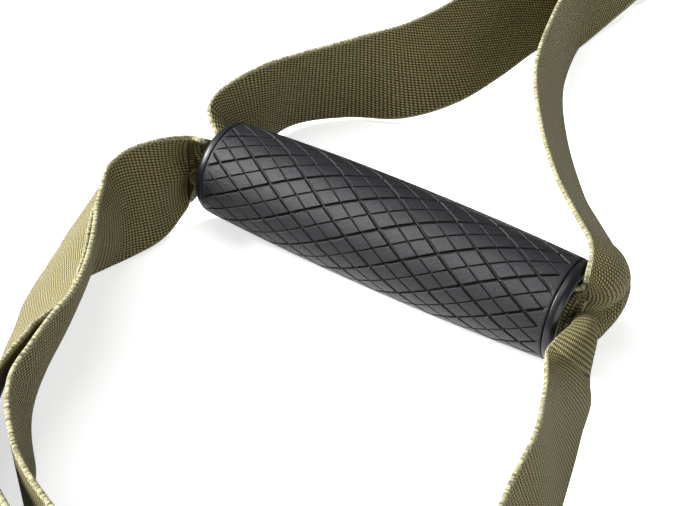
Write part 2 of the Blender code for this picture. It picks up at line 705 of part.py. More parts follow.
def build_cap(side, sign):
    """A rounded end ring with a flared mouth and a spigot inside the core tube."""
    spigot = CAP_SPIGOT_RADIUS
    bore = CAP_BORE_RADIUS
    start = SLEEVE_LENGTH / 2 + CLEARANCE
    face = start + CAP_OVERHANG
    profile = (
        (start, spigot),
        (start, CAP_RADIUS - SLEEVE_EDGE_ROUND),
        (start + SLEEVE_EDGE_ROUND, CAP_RADIUS),
        (start + CAP_OVERHANG * CAP_SHOULDER_SHARE, CAP_RADIUS - SLEEVE_EDGE_ROUND),
        (face, CAP_MOUTH_RADIUS),
        (start + CAP_OVERHANG * CAP_THROAT_SHARE, (CAP_MOUTH_RADIUS + bore) / 2),
        (start - CAP_OVERHANG * CAP_THROAT_SHARE, bore),
        (start - CAP_SPIGOT_LENGTH, bore),
        (start - CAP_SPIGOT_LENGTH, spigot),
    )
    points, faces = turned([(sign * x, r) for x, r in profile], CAP_SIDES, AXIS_HEIGHT)
    name = "right" if sign > 0 else "left"
    add_object(f"end_cap_{name}_{side}", points, faces, "plastic", (0, 0, AXIS_HEIGHT), side)


def build_hand_loop(side):
    unit_y = RING_NEAR_Y / RING_SHARE
    right = route(HAND_RIGHT_SHARES, unit_y, HAND_CURL_RADIUS, HAND_BACK_SHARE)
    left = route(HAND_LEFT_SHARES, unit_y, HAND_CURL_RADIUS, HAND_BACK_SHARE)
    around_bar = [flat_station(RING_NEAR_Y - WRAP_LEAD, RING_Z + RING_TURN)]
    around_bar += turn(RING_NEAR_Y, RING_Z, RING_TURN, 90, -90, WRAP_STEPS)
    around_bar += [flat_station(RING_NEAR_Y - WRAP_LEAD, RING_Z - RING_TURN)]
    samples = flow(right + around_bar + left, closed=True)
    points, faces = ribbon(samples, WEB_WIDTH / HAND_CURL_RADIUS, STRAP_ACROSS, closed=True)
    add_object(f"hand_loop_{side}", points, faces, "webbing", side=side)


def build_foot_straps(side):
    unit_y = FOOT_REACH / FOOT_REACH_SHARE
    back = -FOOT_CURL_RADIUS - FOOT_BACK_SHIFT
    stations = route(FOOT_SHARES, unit_y, back, FOOT_BACK_SHARE)
    points, faces = ribbon(flow(stations), WEB_WIDTH / FOOT_CURL_RADIUS, STRAP_ACROSS)
    add_object(f"foot_strap_{side}", points, faces, "webbing", side=side)
    points, faces = ribbon(flow(route(HEEL_SHARES, unit_y, back, FOOT_BACK_SHARE)))
    add_object(f"heel_strap_{side}", points, faces, "webbing", side=side)


def wire_along(points, radius, sides, closed=False, up=(0, 0, 1)):
    """A round bar along the points."""
    points = np.array(points, float)
    along = tangents(points, closed)
    radii = np.broadcast_to(radius, len(points))
    rings = []
    for i in range(len(points)):
        side_way = unit(np.cross(along[i], up))
        other_way = np.cross(side_way, along[i])
        ring = []
        for k in range(sides):
            angle = 2 * math.pi * k / sides
            outward = math.cos(angle) * side_way + math.sin(angle) * other_way
            ring.append(points[i] + radii[i] * outward)
        rings.append(ring)
    return loft(rings, closed)


def rounded_box_path(half_x, half_y, corner, steps):
    """Points of a rectangle with round corners, anticlockwise from the +X side."""
    path = []
    for start, sx, sy in ((0, 1, 1), (90, -1, 1), (180, -1, -1), (270, 1, -1)):
        for step in range(steps + 1):
            angle = math.radians(start + 90 * step / steps)
            path.append(
                (
                    sx * (half_x - corner) + corner * math.cos(angle),
                    sy * (half_y - corner) + corner * math.sin(angle),
                )
            )
    return path


def build_ring(side):
    half_x = RING_INNER_WIDTH / 2 + RING_WIRE_RADIUS
    half_y = RING_INNER_LENGTH / 2 + RING_WIRE_RADIUS
    centre_y = RING_NEAR_Y + RING_PITCH_Y / 2
    path = rounded_box_path(half_x, half_y, RING_CORNER_RADIUS, CORNER_STEPS)
    points = [(STRAP_X + x, centre_y + y, RING_Z) for x, y in path]
    points, faces = wire_along(points, RING_WIRE_RADIUS, WIRE_SIDES, closed=True)
    add_object(f"ring_link_{side}", points, faces, "steel", side=side)


def build_main_strap(side):
    """From its end at the buckle's bar, round the ring link, through the buckle, folded, to the sewn zone."""
    far_bar_y = RING_NEAR_Y + RING_PITCH_Y
    top = RING_Z + RING_TURN
    wrap_y = BUCKLE_BAR_Y + BUCKLE_BAR_LENGTH / 2 - BAR_WRAP_INSET
    climb_start = BUCKLE_BAR_Y + BUCKLE_BAR_LENGTH
    end_y = HANK_START_Y + HANK_LENGTH
    stations = [flat_station(BUCKLE_BAR_Y - BAR_RETURN, BAR_Z + BAR_TURN)]
    stations += turn(wrap_y, BAR_Z, BAR_TURN, 90, -90, WRAP_STEPS)
    stations += turn(far_bar_y, RING_Z, RING_TURN, 270, 90, WRAP_STEPS)
    for run, rise in CLIMB_SHARES:
        stations.append(flat_station(climb_start + run * CHANNEL_CLIMB, top + rise * (CHANNEL_HEIGHT - top)))
    stations.append(flat_station(BUCKLE_BAR_Y + BUCKLE_PLATE_LENGTH, CHANNEL_HEIGHT))
    stations.append(flat_station(HANK_START_Y - HANK_LEAD, (CHANNEL_HEIGHT + HANK_BASE) / 2))
    stations.append(flat_station(HANK_START_Y, HANK_BASE))
    for layer in range(HANK_LAYERS - 1):
        height = HANK_BASE + (layer + 0.5) * HANK_PITCH
        if layer % 2 == 0:
            stations += turn(end_y, height, HANK_PITCH / 2, -90, 90, FOLD_STEPS)
        else:
            stations += turn(HANK_START_Y, height, HANK_PITCH / 2, 270, 90, FOLD_STEPS)
    top_layer = HANK_BASE + (HANK_LAYERS - 1) * HANK_PITCH
    beside = MIRROR_X + SEWN_PITCH / 2
    tail = [flat_station(end_y, top_layer), flat_station(end_y + HANK_EXIT, top_layer)]
    for x, y, z, *rest in TAIL_SHARES:
        place = (MIRROR_X + x * (STRAP_X - MIRROR_X), end_y + y * TAIL_RUN, z * STANDING_HEIGHT)
        tail.append((*place, *rest))
    tail.append((beside, SEWN_START_Y, STANDING_HEIGHT, 0, 0, 1, 0))
    sewn_end = (beside, SEWN_START_Y + SEWN_LENGTH - SEWN_MARGIN, STANDING_HEIGHT, 0, 0, 1, 0)
    samples = np.concatenate([stations, flow(tail), [sewn_end]])
    points, faces = ribbon(samples)
    add_object(f"main_strap_{side}", points, faces, "webbing", side=side)
    if side == 1:
        report_strap(samples)


def report_strap(samples):
    """Prints the strap's length and the least gap between its folds."""
    points = samples[:, :3]
    steps = np.linalg.norm(np.diff(points, axis=0), axis=1)
    counts = [max(2, int(step / WEB_THICKNESS)) for step in steps]
    pieces = [np.linspace(a, b, count, endpoint=False) for a, b, count in zip(points, points[1:], counts)]
    dense = np.concatenate(pieces)
    run = np.concatenate([[0], np.cumsum(np.linalg.norm(np.diff(dense, axis=0), axis=1))])
    least = 1.0
    for i in range(len(dense)):
        far = np.abs(run - run[i]) > 4 * HANK_PITCH
        gaps = np.linalg.norm(dense[far] - dense[i], axis=1)
        least = min(least, gaps.min() - WEB_THICKNESS)
    print(f"main strap {steps.sum() * 1000:.0f} mm long, folds at least {least * 1000:.2f} mm apart")


def prism(outline, start, end, axis):
    """An outline of two coordinates drawn out along the third axis."""
    points = []
    for level in (start, end):
        for u, v in outline:
            points.append({"x": (level, u, v), "z": (u, v, level)}[axis])
    count = len(outline)
    faces = [tuple(reversed(range(count))), tuple(range(count, 2 * count))]
    for k in range(count):
        n = (k + 1) % count
        faces.append((k, n, count + n, count + k))
    return np.array(points), faces


def circle(u, v, radius):
    angles = [2 * math.pi * k / PIN_SIDES for k in range(PIN_SIDES)]
    return [(u + radius * math.cos(a), v + radius * math.sin(a)) for a in angles]


def build_buckle_frame(side):
    """A plate with a slot behind its rear bar and two upright cheeks that carry the pin."""
    bottom = BAR_Z - BUCKLE_PLATE_THICKNESS / 2
    top = BAR_Z + BUCKLE_PLATE_THICKNESS / 2
    half_length = BUCKLE_PLATE_LENGTH / 2
    start = BUCKLE_BAR_Y - BUCKLE_BAR_LENGTH / 2
    path = rounded_box_path(BUCKLE_PLATE_WIDTH / 2, half_length, BUCKLE_CORNER, CORNER_STEPS)
    outline = [(STRAP_X + x, start + half_length + y) for x, y in path]
    points, faces = prism(outline, bottom, top, "z")
    frame = add_object(f"buckle_frame_{side}", points, faces, "dark_steel", side=side, smooth=False)
    slot_y = start + BUCKLE_BAR_LENGTH + BUCKLE_SLOT_LENGTH / 2
    path = rounded_box_path(BUCKLE_SLOT_WIDTH / 2, BUCKLE_SLOT_LENGTH / 2, BUCKLE_CORNER / 4, 2)
    outline = [(STRAP_X + x, slot_y + y) for x, y in path]
    points, faces = prism(outline, bottom - BUCKLE_PLATE_THICKNESS, top + BUCKLE_PLATE_THICKNESS, "z")
    boolean(frame, add_cutter(f"slot_cutter_{side}", points, faces, side), "DIFFERENCE")
    cheek_y = BUCKLE_BAR_Y + CHEEK_START + CHEEK_LENGTH / 2
    cheek_height = PIN_Z + PIN_HOLE_RADIUS + CHEEK_RIM - bottom
    path = rounded_box_path(CHEEK_LENGTH / 2, cheek_height, CHEEK_CORNER, CORNER_STEPS)
    outline = [(cheek_y + y, bottom + z) for y, z in path if z > 0]
    outline += [(cheek_y - CHEEK_LENGTH / 2, BAR_Z), (cheek_y + CHEEK_LENGTH / 2, BAR_Z)]
    for sign in (1, -1):
        inner = STRAP_X + sign * CHEEK_INNER_HALF
        outer = inner + sign * CHEEK_THICKNESS
        points, faces = prism(outline, min(inner, outer), max(inner, outer), "x")
        boolean(frame, add_cutter(f"cheek_{side}_{sign + 1}", points, faces, side), "UNION")
    reach = 2 * (CHEEK_INNER_HALF + CHEEK_THICKNESS)
    points, faces = prism(circle(PIN_Y, PIN_Z, PIN_HOLE_RADIUS), STRAP_X - reach, STRAP_X + reach, "x")
    hole = add_cutter(f"pin_hole_{side}", points, faces, side)
    boolean(frame, hole, "DIFFERENCE")
    return hole


def build_buckle_cam(side, hole):
    """The toothed cam with its thumb lever, turning on the pin."""
    outline = [(PIN_Y + u * CAM_RADIUS, PIN_Z + v * CAM_RADIUS) for u, v in CAM_OUTLINE_SHARES]
    right_end = STRAP_X + CHEEK_INNER_HALF - SPRING_ROOM
    points, faces = prism(outline, STRAP_X - CHEEK_INNER_HALF + CAM_SIDE_GAP, right_end, "x")
    pivot = (STRAP_X, PIN_Y, PIN_Z)
    cam = add_object(f"buckle_cam_{side}", points, faces, "dark_steel", pivot, side, smooth=False)
    boolean(cam, hole, "DIFFERENCE")


def build_cam_pin(side):
    outer = CHEEK_INNER_HALF + CHEEK_THICKNESS + CLEARANCE
    head_edge = PIN_HEAD_RADIUS * PIN_HEAD_EDGE_SHARE
    profile = (
        (-outer - PIN_HEAD_THICKNESS, head_edge),
        (-outer - PIN_HEAD_THICKNESS / 2, PIN_HEAD_RADIUS),
        (-outer, PIN_HEAD_RADIUS),
        (-outer, PIN_RADIUS),
        (outer, PIN_RADIUS),
        (outer, PIN_HEAD_RADIUS),
        (outer + PIN_HEAD_THICKNESS / 2, PIN_HEAD_RADIUS),
        (outer + PIN_HEAD_THICKNESS, head_edge),
    )
    rings = []
    for x, radius in profile:
        outline = circle(PIN_Y, PIN_Z, radius)
        rings.append([(STRAP_X + x, y, z) for y, z in outline])
    points, faces = loft(rings)
    add_object(f"cam_pin_{side}", points, faces, "steel", side=side)


def build_cam_spring(side):
    """A torsion spring round the pin, beside the cam, its leg down on the webbing's side."""
    path = []
    begin = STRAP_X + CHEEK_INNER_HALF - SPRING_ROOM + SPRING_END_ROOM
    for step in range(SPRING_STEPS * SPRING_TURNS + 1):
        angle = 2 * math.pi * step / SPRING_STEPS
        x = begin + SPRING_PITCH * step / SPRING_STEPS
        path.append((x, PIN_Y + SPRING_RADIUS * math.cos(angle), PIN_Z + SPRING_RADIUS * math.sin(angle)))
    x, y, z = path[-1]
    path += [(x, y, z - SPRING_LEG / 2), (x, y, z - SPRING_LEG)]
    points, faces = wire_along(path, SPRING_WIRE_RADIUS, 4, up=(1, 0, 0))
    add_object(f"cam_spring_{side}", points, faces, "steel", side=side)


def build_tie(side):
    """An elastic band round the folded strap."""
    top = HANK_BASE + (HANK_LAYERS - 1) * HANK_PITCH + WEB_THICKNESS / 2
    height = top + CLEARANCE
    half_z = (height + TIE_THICKNESS) / 2
    half_x = WEB_WIDTH / 2 + 2 * CLEARANCE + TIE_THICKNESS
    outer = rounded_box_path(half_x, half_z, TIE_CORNER, CORNER_STEPS)
    wall = TIE_THICKNESS
    inner = rounded_box_path(half_x - wall, half_z - wall, TIE_CORNER - wall, CORNER_STEPS)
    centre = HANK_START_Y + HANK_LENGTH / 2
    rings = []
    for (ox, oz), (ix, iz) in zip(outer, inner):
        ring = []
        for y, x, z in (
            (centre - TIE_WIDTH / 2, ox, oz),
            (centre + TIE_WIDTH / 2, ox, oz),
            (centre + TIE_WIDTH / 2, ix, iz),
            (centre - TIE_WIDTH / 2, ix, iz),
        ):
            ring.append((STRAP_X + x, y, half_z + z))
        rings.append(ring)
    points, faces = loft(rings, closed=True)
    add_object(f"hank_tie_{side}", points, faces, "elastic", side=side, smooth=False)


def build_anchor_loop():
    """The webbing loop that carries the carabiner. Its tails hold both main straps between them."""
    half = 1.5 * SEWN_PITCH
    end_y = SEWN_START_Y + SEWN_LENGTH
    turn_y = CARABINER_Y + LOOP_TURN_OFFSET
    lead_y = turn_y - ANCHOR_LEAD
    low = LOOP_Z - LOOP_TURN_RADIUS
    high = LOOP_Z + LOOP_TURN_RADIUS
    begin = (MIRROR_X - half, SEWN_START_Y, STANDING_HEIGHT, 0, 0, 1, 0)
    end = (MIRROR_X + half, SEWN_START_Y, STANDING_HEIGHT, 0, 0, 1, 0)
    stations = [
        (MIRROR_X - half, end_y, STANDING_HEIGHT, 0, 0, 1, 0),
        (MIRROR_X - half, end_y + ANCHOR_TWIST_START, STANDING_HEIGHT * 0.80, -0.72, 0, 0.7, 0),
        (MIRROR_X, end_y + ANCHOR_TWIST_END, (low + STANDING_HEIGHT / 2) / 2, -0.98, 0, 0.2, 0),
        flat_station(lead_y, low, MIRROR_X),
    ]
    stations += turn(turn_y, LOOP_Z, LOOP_TURN_RADIUS, -90, 90, WRAP_STEPS, MIRROR_X)
    stations += [
        flat_station(lead_y, high, MIRROR_X),
        (MIRROR_X, end_y + ANCHOR_TWIST_END, high, -0.98, 0, 0.2, 0),
        (MIRROR_X + half, end_y + ANCHOR_TWIST_START, STANDING_HEIGHT, -0.60, 0, 0.8, 0),
        (MIRROR_X + half, end_y, STANDING_HEIGHT, 0, 0, 1, 0),
    ]
    samples = np.concatenate([[begin], flow(stations, steps=2), [end]])
    share = np.clip((samples[:, 1] - end_y) / (lead_y - end_y), 0, 1)
    width = WEB_WIDTH * (1 + (FOLDED_WIDTH_SHARE - 1) * share)
    thickness = WEB_THICKNESS * (1 + (FOLDED_THICKNESS_SHARE - 1) * share)
    points, faces = ribbon(samples, width=width, thickness=thickness)
    add_object("anchor_loop", points, faces, "webbing")


def tilted(points):
    """Points of the carabiner's own plane put at its place, its far end resting on the table."""
    points = np.array(points, float)
    turn_down = Matrix.Rotation(-CARABINER_TILT, 3, "X")
    points = points @ np.array(turn_down).T
    return points + np.array([MIRROR_X, CARABINER_Y, CARABINER_Z])


def build_carabiner():
    """The bow of the near end passes through y = 0 of the carabiner's own plane."""
    near = CARABINER_NEAR_RADIUS
    far = CARABINER_FAR_RADIUS
    far_y = near + CARABINER_SPAN
    gate_from = np.array([-near, near])
    along = unit([near - far, CARABINER_SPAN])
    across = np.array([along[1], -along[0]])
    start = gate_from + along * GATE_START
    nose = gate_from + along * (math.hypot(near - far, CARABINER_SPAN) - NOSE_LENGTH)
    path = [start, gate_from + along * GATE_START / 2]
    for step in range(NEAR_BEND_STEPS + 1):
        angle = math.pi + math.pi * step / NEAR_BEND_STEPS
        path.append(np.array([near * math.cos(angle), near + near * math.sin(angle)]))
    for step in range(FAR_BEND_STEPS + 1):
        angle = math.pi * step / FAR_BEND_STEPS
        path.append(np.array([far * math.cos(angle), far_y + far * math.sin(angle)]))
    path += [(nose + path[-1]) / 2, nose]
    points, faces = wire_along([(x, y, 0) for x, y in path], CARABINER_BAR_RADIUS, CARABINER_SIDES)
    body = add_object("carabiner_body", tilted(points), faces, "steel")

    def block(name, begin, end, width, thickness):
        """A cutter with flat sides along the gate's line."""
        half = across * width / 2
        corners = [tuple(c) for c in (begin - half, begin + half, end + half, end - half)]
        block_points, block_faces = prism(corners, -thickness / 2, thickness / 2, "z")
        return add_cutter(name, tilted(block_points), block_faces, 1)

    tongue_end = start + along * TONGUE_REACH
    pin_at = start + along * TONGUE_REACH / 2
    tongue = block("tongue", start - along * GATE_START / 2, tongue_end, TONGUE_WIDTH, TONGUE_THICKNESS)
    boolean(body, tongue, "UNION")
    reach = 2 * CARABINER_BAR_RADIUS
    points, faces = prism(circle(*pin_at, GATE_PIN_HOLE), -reach, reach, "z")
    hole = add_cutter("gate_pin_hole", tilted(points), faces, 1)
    boolean(body, hole, "DIFFERENCE")

    gate_start = start + along * GATE_HINGE_GAP
    gate_end = nose - along * GATE_END_GAP
    bar = [tuple(gate_start + (gate_end - gate_start) * rung) + (0,) for rung, _ in GATE_RUNG_SHARES]
    radii = np.array([GATE_RADIUS * share for _, share in GATE_RUNG_SHARES])
    points, faces = wire_along(bar, radii, CARABINER_SIDES)
    pivot = tilted([tuple(pin_at) + (0,)])[0]
    gate = add_object("carabiner_gate", tilted(points), faces, "steel", tuple(pivot))
    slot_end = tongue_end + along * TONGUE_RELIEF
    slot_width = TONGUE_THICKNESS + 2 * CLEARANCE
    slot = block("gate_slot", start - along * GATE_START, slot_end, 4 * GATE_RADIUS, slot_width)
    boolean(gate, slot, "DIFFERENCE")
    boolean(gate, hole, "DIFFERENCE")

    half_length = GATE_RADIUS * GATE_PIN_LENGTH_SHARE
    points, faces = prism(circle(*pin_at, GATE_PIN_RADIUS), -half_length, half_length, "z")
    add_object("gate_pin", tilted(points), faces, "dark_steel")
    print("gate pivot", pivot.tolist(), "bow", tilted([(0, 0, 0)])[0].tolist(), "tilt", CARABINER_TILT)


def centre_origin():
    """Moves everything so that the origin is the middle of the bottom of the box."""
    corners = []
    for obj in bpy.data.objects:
        if obj.hide_render:
            continue
        points = np.array([v.co[:] for v in obj.data.vertices]) + np.array(obj.location)
        corners += [points.min(axis=0), points.max(axis=0)]
    low = np.min(corners, axis=0)
    high = np.max(corners, axis=0)
    shift = np.array([(low[0] + high[0]) / 2, (low[1] + high[1]) / 2, low[2]])
    for obj in bpy.data.objects:
        obj.location = (np.array(obj.location) - shift).tolist()
    print("box", ((high - low) * 1000).round(2).tolist(), "shift", (-shift).tolist())


def main():
    clear_scene()
    for side in (1, 2):
        build_sleeve(side)
        build_core(side)
        build_cap(side, 1)
        build_cap(side, -1)
        build_hand_loop(side)
        build_foot_straps(side)
        build_ring(side)
        build_main_strap(side)
        hole = build_buckle_frame(side)
        build_buckle_cam(side, hole)
        build_cam_pin(side)
        build_cam_spring(side)
        build_tie(side)
    build_anchor_loop()
    build_carabiner()
    centre_origin()


main()
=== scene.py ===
"""Looks of the suspension trainer: webbing, rubber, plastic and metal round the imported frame. Metres."""

import math

import bmesh
import bpy
import numpy as np
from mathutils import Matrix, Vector


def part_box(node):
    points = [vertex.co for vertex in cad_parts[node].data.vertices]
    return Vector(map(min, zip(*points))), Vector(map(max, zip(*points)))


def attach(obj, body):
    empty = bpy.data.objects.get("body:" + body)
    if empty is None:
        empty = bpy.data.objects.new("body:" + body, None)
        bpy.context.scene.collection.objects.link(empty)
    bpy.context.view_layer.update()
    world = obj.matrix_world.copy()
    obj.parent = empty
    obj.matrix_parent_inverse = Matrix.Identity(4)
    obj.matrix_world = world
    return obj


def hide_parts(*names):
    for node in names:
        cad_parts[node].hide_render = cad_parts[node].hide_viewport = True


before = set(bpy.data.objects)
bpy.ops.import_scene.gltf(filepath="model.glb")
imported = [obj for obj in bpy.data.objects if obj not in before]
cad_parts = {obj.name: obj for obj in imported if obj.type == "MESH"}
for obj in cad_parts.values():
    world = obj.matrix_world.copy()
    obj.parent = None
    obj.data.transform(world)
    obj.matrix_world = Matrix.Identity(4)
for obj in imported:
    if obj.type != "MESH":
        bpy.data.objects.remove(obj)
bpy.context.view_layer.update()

# Sizes that the CAD model shares
WEB_WIDTH = 0.038
WEB_THICKNESS = 0.0019
LAYER_GAP = 0.0005
CLEARANCE = 0.0003
TABLE_GAP = 0.0003
STANDING_HEIGHT = WEB_WIDTH / 2 + TABLE_GAP
SLEEVE_LENGTH = 0.1345
SLEEVE_END_RADIUS = 0.0175
SLEEVE_MIDDLE_RADIUS = 0.0193
AXIS_HEIGHT = SLEEVE_MIDDLE_RADIUS + TABLE_GAP
PLAIN_BAND = 0.00175
PATTERN_LENGTH = SLEEVE_LENGTH - 2 * PLAIN_BAND
LINES_PER_FAMILY = 18
ROW_PITCH = 0.00555
FIRST_TIP_ANGLE = math.radians(15.3)
WIDE_GROOVE_HALF = 0.00062
THIN_GROOVE_HALF = 0.00036
WIDE_GROOVE_DEPTH = 0.0009
THIN_GROOVE_DEPTH = 0.00055
CORE_OUTER_RADIUS = 0.0152
CAP_OVERHANG = 0.0038
CAP_RADIUS = 0.0174
CAP_MOUTH_RADIUS = 0.0151
CAP_SPIGOT_RADIUS = 0.0129
CAP_BORE_RADIUS = 0.0119
CAP_SPIGOT_LENGTH = 0.009
BORE_PLAY = 0.00073
LAYER_PLAY = 0.0004
FOOT_SHIFT = 0.001
HAND_CURL_RADIUS = CAP_BORE_RADIUS - WEB_THICKNESS / 2 - BORE_PLAY
FOOT_CURL_RADIUS = HAND_CURL_RADIUS - WEB_THICKNESS - LAYER_PLAY
FOOT_BACK = -FOOT_CURL_RADIUS - FOOT_SHIFT
MIRROR_X = -0.175
STRAP_X = -0.025
RING_WIRE_RADIUS = 0.0025
RING_INNER_WIDTH = 0.0404
RING_INNER_LENGTH = 0.014
RING_CORNER = 0.004
RING_NEAR_Y = 0.258
RING_Z = TABLE_GAP + WEB_THICKNESS + CLEARANCE + RING_WIRE_RADIUS
RING_TURN = RING_WIRE_RADIUS + CLEARANCE + WEB_THICKNESS / 2
RING_PITCH_Y = RING_INNER_LENGTH + 2 * RING_WIRE_RADIUS
WRAP_LEAD = 0.008
RING_TO_BUCKLE = 0.08
BUCKLE_BAR_Y = RING_NEAR_Y + RING_TO_BUCKLE
BUCKLE_BAR_RADIUS = 0.0012
BUCKLE_BAR_LENGTH = 0.0042
BAR_RETURN = 0.022
WRAP_SHIFT = 0.0004
BUCKLE_PLATE_LENGTH = 0.048
BAR_TURN = BUCKLE_BAR_RADIUS + CLEARANCE + WEB_THICKNESS / 2
BAR_Z = TABLE_GAP + WEB_THICKNESS / 2 + BAR_TURN
CHANNEL_GAP = 0.00055
CHANNEL_HEIGHT = BAR_Z + BUCKLE_BAR_RADIUS + CHANNEL_GAP + WEB_THICKNESS / 2
CHANNEL_CLIMB = 0.013
BUCKLE_TO_HANK = 0.022
HANK_START_Y = BUCKLE_BAR_Y + BUCKLE_PLATE_LENGTH + BUCKLE_TO_HANK
HANK_LENGTH = 0.104
HANK_LAYERS = 7
HANK_GAP = 0.0007
HANK_PITCH = WEB_THICKNESS + HANK_GAP
HANK_EXIT = 0.006
TIE_THICKNESS = 0.0012
TIE_WIDTH = 0.024
TIE_CORNER = 0.0025
HANK_BASE = TIE_THICKNESS + CLEARANCE + WEB_THICKNESS / 2
TAIL_RUN = 0.148
SEWN_START_Y = HANK_START_Y + HANK_LENGTH + TAIL_RUN
SEWN_LENGTH = 0.045
SEWN_PITCH = WEB_THICKNESS + LAYER_GAP
SEWN_MARGIN = 0.006
ANCHOR_LEAD = 0.012
ANCHOR_TWIST_START = 0.020
ANCHOR_TWIST_END = 0.042
FOLDED_WIDTH_SHARE = 0.42
FOLDED_THICKNESS_SHARE = 2.1
FOLDED_THICKNESS = FOLDED_THICKNESS_SHARE * WEB_THICKNESS
ANCHOR_REACH = 0.071
CARABINER_Y = SEWN_START_Y + SEWN_LENGTH + ANCHOR_REACH
CARABINER_BAR_RADIUS = 0.005
LOOP_PLAY = 0.0017
LOOP_TURN_RADIUS = FOLDED_THICKNESS / 2 + CARABINER_BAR_RADIUS + LOOP_PLAY
LOOP_TURN_OFFSET = 0.005
LOOP_Z = TABLE_GAP + FOLDED_THICKNESS / 2 + LOOP_TURN_RADIUS

# What the route tables call the grip's end along x, the heights of its axis and of a standing strap's
# middle, and the straps' places behind the axis; then the lengths that their y counts in
GRIP_END_SHARE = 0.6725
AXIS_SHARE = 0.195
STANDING_SHARE = 0.193
HAND_BACK_SHARE = 0.102
FOOT_BACK_SHARE = -0.089
HAND_UNIT_Y = RING_NEAR_Y / 2.58
FOOT_UNIT_Y = 0.1

# Route stations, repeated from the CAD model: x, y and z in the shares above, the direction of the upper
# edge, and the share of the bore's curl. TAIL's x, y and z are shares of its own run.
HAND_RIGHT = (
    (-0.56, 0.102, 0.195, 0, 0, 1, 1),
    (0.1, 0.102, 0.195, 0, 0, 1, 1),
    (0.56, 0.102, 0.195, 0, 0, 1, 1),
    (0.67, 0.104, 0.195, 0, 0, 1, 0.98),
    (-0.15, 1.74, 0.193, -0.1, -0.02, 0.99, 0),
    (-0.2, 2, 0.182, -0.57, 0, 0.82, 0),
    (-0.23, 2.26, 0.14, -0.91, 0, 0.42, 0),
)
HAND_LEFT = (
    (-0.28, 2.26, 0.082, -0.94, 0, 0.34, 0),
    (-0.3, 2, 0.16, -0.72, 0, 0.7, 0),
    (-0.3, 1.78, 0.185, -0.44, 0.06, 0.9, 0),
    (-0.35, 1.57, 0.195, -0.54, 0.08, 0.84, 0),
    (-0.372, 1.3, 0.203, -0.53, 0.09, 0.84, 0),
    (-0.414, 1.06, 0.205, -0.48, 0.16, 0.87, 0),
    (-0.492, 0.88, 0.206, -0.22, 0.2, 0.95, 0),
    (-0.645, 0.725, 0.203, 0.05, -0.05, 1, 0),
    (-0.78, 0.53, 0.203, 0.16, -0.1, 0.98, 0),
    (-0.81, 0.335, 0.202, 0, 0, 1, 0.06),
    (-0.805, 0.21, 0.195, -0.14, -0.05, 0.98, 0.12),
    (-0.76, 0.128, 0.195, -0.06, 0, 1, 0.52),
    (-0.67, 0.106, 0.195, 0, 0, 1, 0.97),
)
FOOT = (
    (-0.55, -0.089, 0.195, 0, 0, 1, 1),
    (-0.66, -0.089, 0.195, 0, 0, 1, 1),
    (-0.715, -0.092, 0.195, 0, 0, 1, 0.98),
    (0.38, -1.71, 0.193, 0, 0, 1, 0),
    (0.74, -1.69, 0.193, 0, 0, 1, 0),
    (0.98, -1.51, 0.193, -0.12, 0.06, 0.99, 0),
    (1.05, -1.25, 0.193, -0.3, 0, 0.95, 0),
    (0.715, -0.092, 0.195, 0, 0, 1, 0.98),
    (0.66, -0.089, 0.195, 0, 0, 1, 1),
    (0.55, -0.089, 0.195, 0, 0, 1, 1),
)
HEEL = (
    (-0.645, -1.16, 0.18, 0.43, 0.22, 0.87, 0),
    (-0.52, -1.38, 0.19, 0.18, 0.12, 0.98, 0),
    (-0.31, -1.58, 0.193, 0, 0, 1, 0),
    (0.01, -1.735, 0.193, 0, 0, 1, 0),
    (0.38, -1.79, 0.193, 0, 0, 1, 0),
    (0.79, -1.765, 0.193, 0, 0, 1, 0),
    (1.06, -1.55, 0.193, -0.12, 0.06, 0.99, 0),
    (1.125, -1.26, 0.193, -0.3, 0, 0.95, 0),
    (1.06, -1.05, 0.19, -0.38, -0.02, 0.92, 0),
)
TAIL = (
    (1, 0.25, 0.96, -0.8, 0, 0.6, 0),
    (0.98, 0.46, 1, -0.22, 0, 0.98, 0),
    (0.83, 0.61, 1, 0, 0, 1, 0),
    (0.57, 0.7, 1, 0, 0, 1, 0),
    (0.27, 0.745, 1, 0, 0, 1, 0),
    (0.1, 0.81, 1, 0, 0, 1, 0),
    (0.033, 0.885, 1, 0, 0, 1, 0),
    (0.012, 0.95, 1, 0, 0, 1, 0),
)

# Rail stations of soft folds, set along the photographed straps. In millimetres from the table
# under the grip's middle: the upper edge and the lower edge. Then the curl in radians, the sag and the
# height of the lobes in millimetres, and the share of the width where the valley between the lobes lies.
# Numbers that a row leaves out at its end are 0.
HAND_RIGHT_RAILS = (
    (72.6, -1, 33, 76.2, 4.1, 6.7, 1.8, 6, 2, 0.07),
    (72.4, 0.9, 38.1, 77.6, 11.1, 8.3, 0.9, 2.5, 5.5, -0.2),
    (70.3, 6.4, 39, 77.9, 20.6, 9.7, 0.4, 0, 5, -0.33),
    (66.7, 12.8, 39.5, 76.2, 30.2, 10.7, 0.1, 0, 3, -0.42),
    (60.9, 18.7, 39.5, 71.2, 38.7, 10.1, 0, 0, 1.2, -0.45),
    (53, 26.7, 39, 62.8, 48, 9.1, 0, 0, 0.3, -0.45),
    (41.1, 39.3, 38.5, 50.5, 60, 8.1, 0, 0, 0, -0.45),
    (22.3, 64.9, 36.6, 37.9, 75.5, 3.6),
    (2.6, 98.3, 37.7, 15.6, 105.5, 2.7),
    (-8.7, 136.2, 39.2, -2.7, 137.8, 1.8),
)
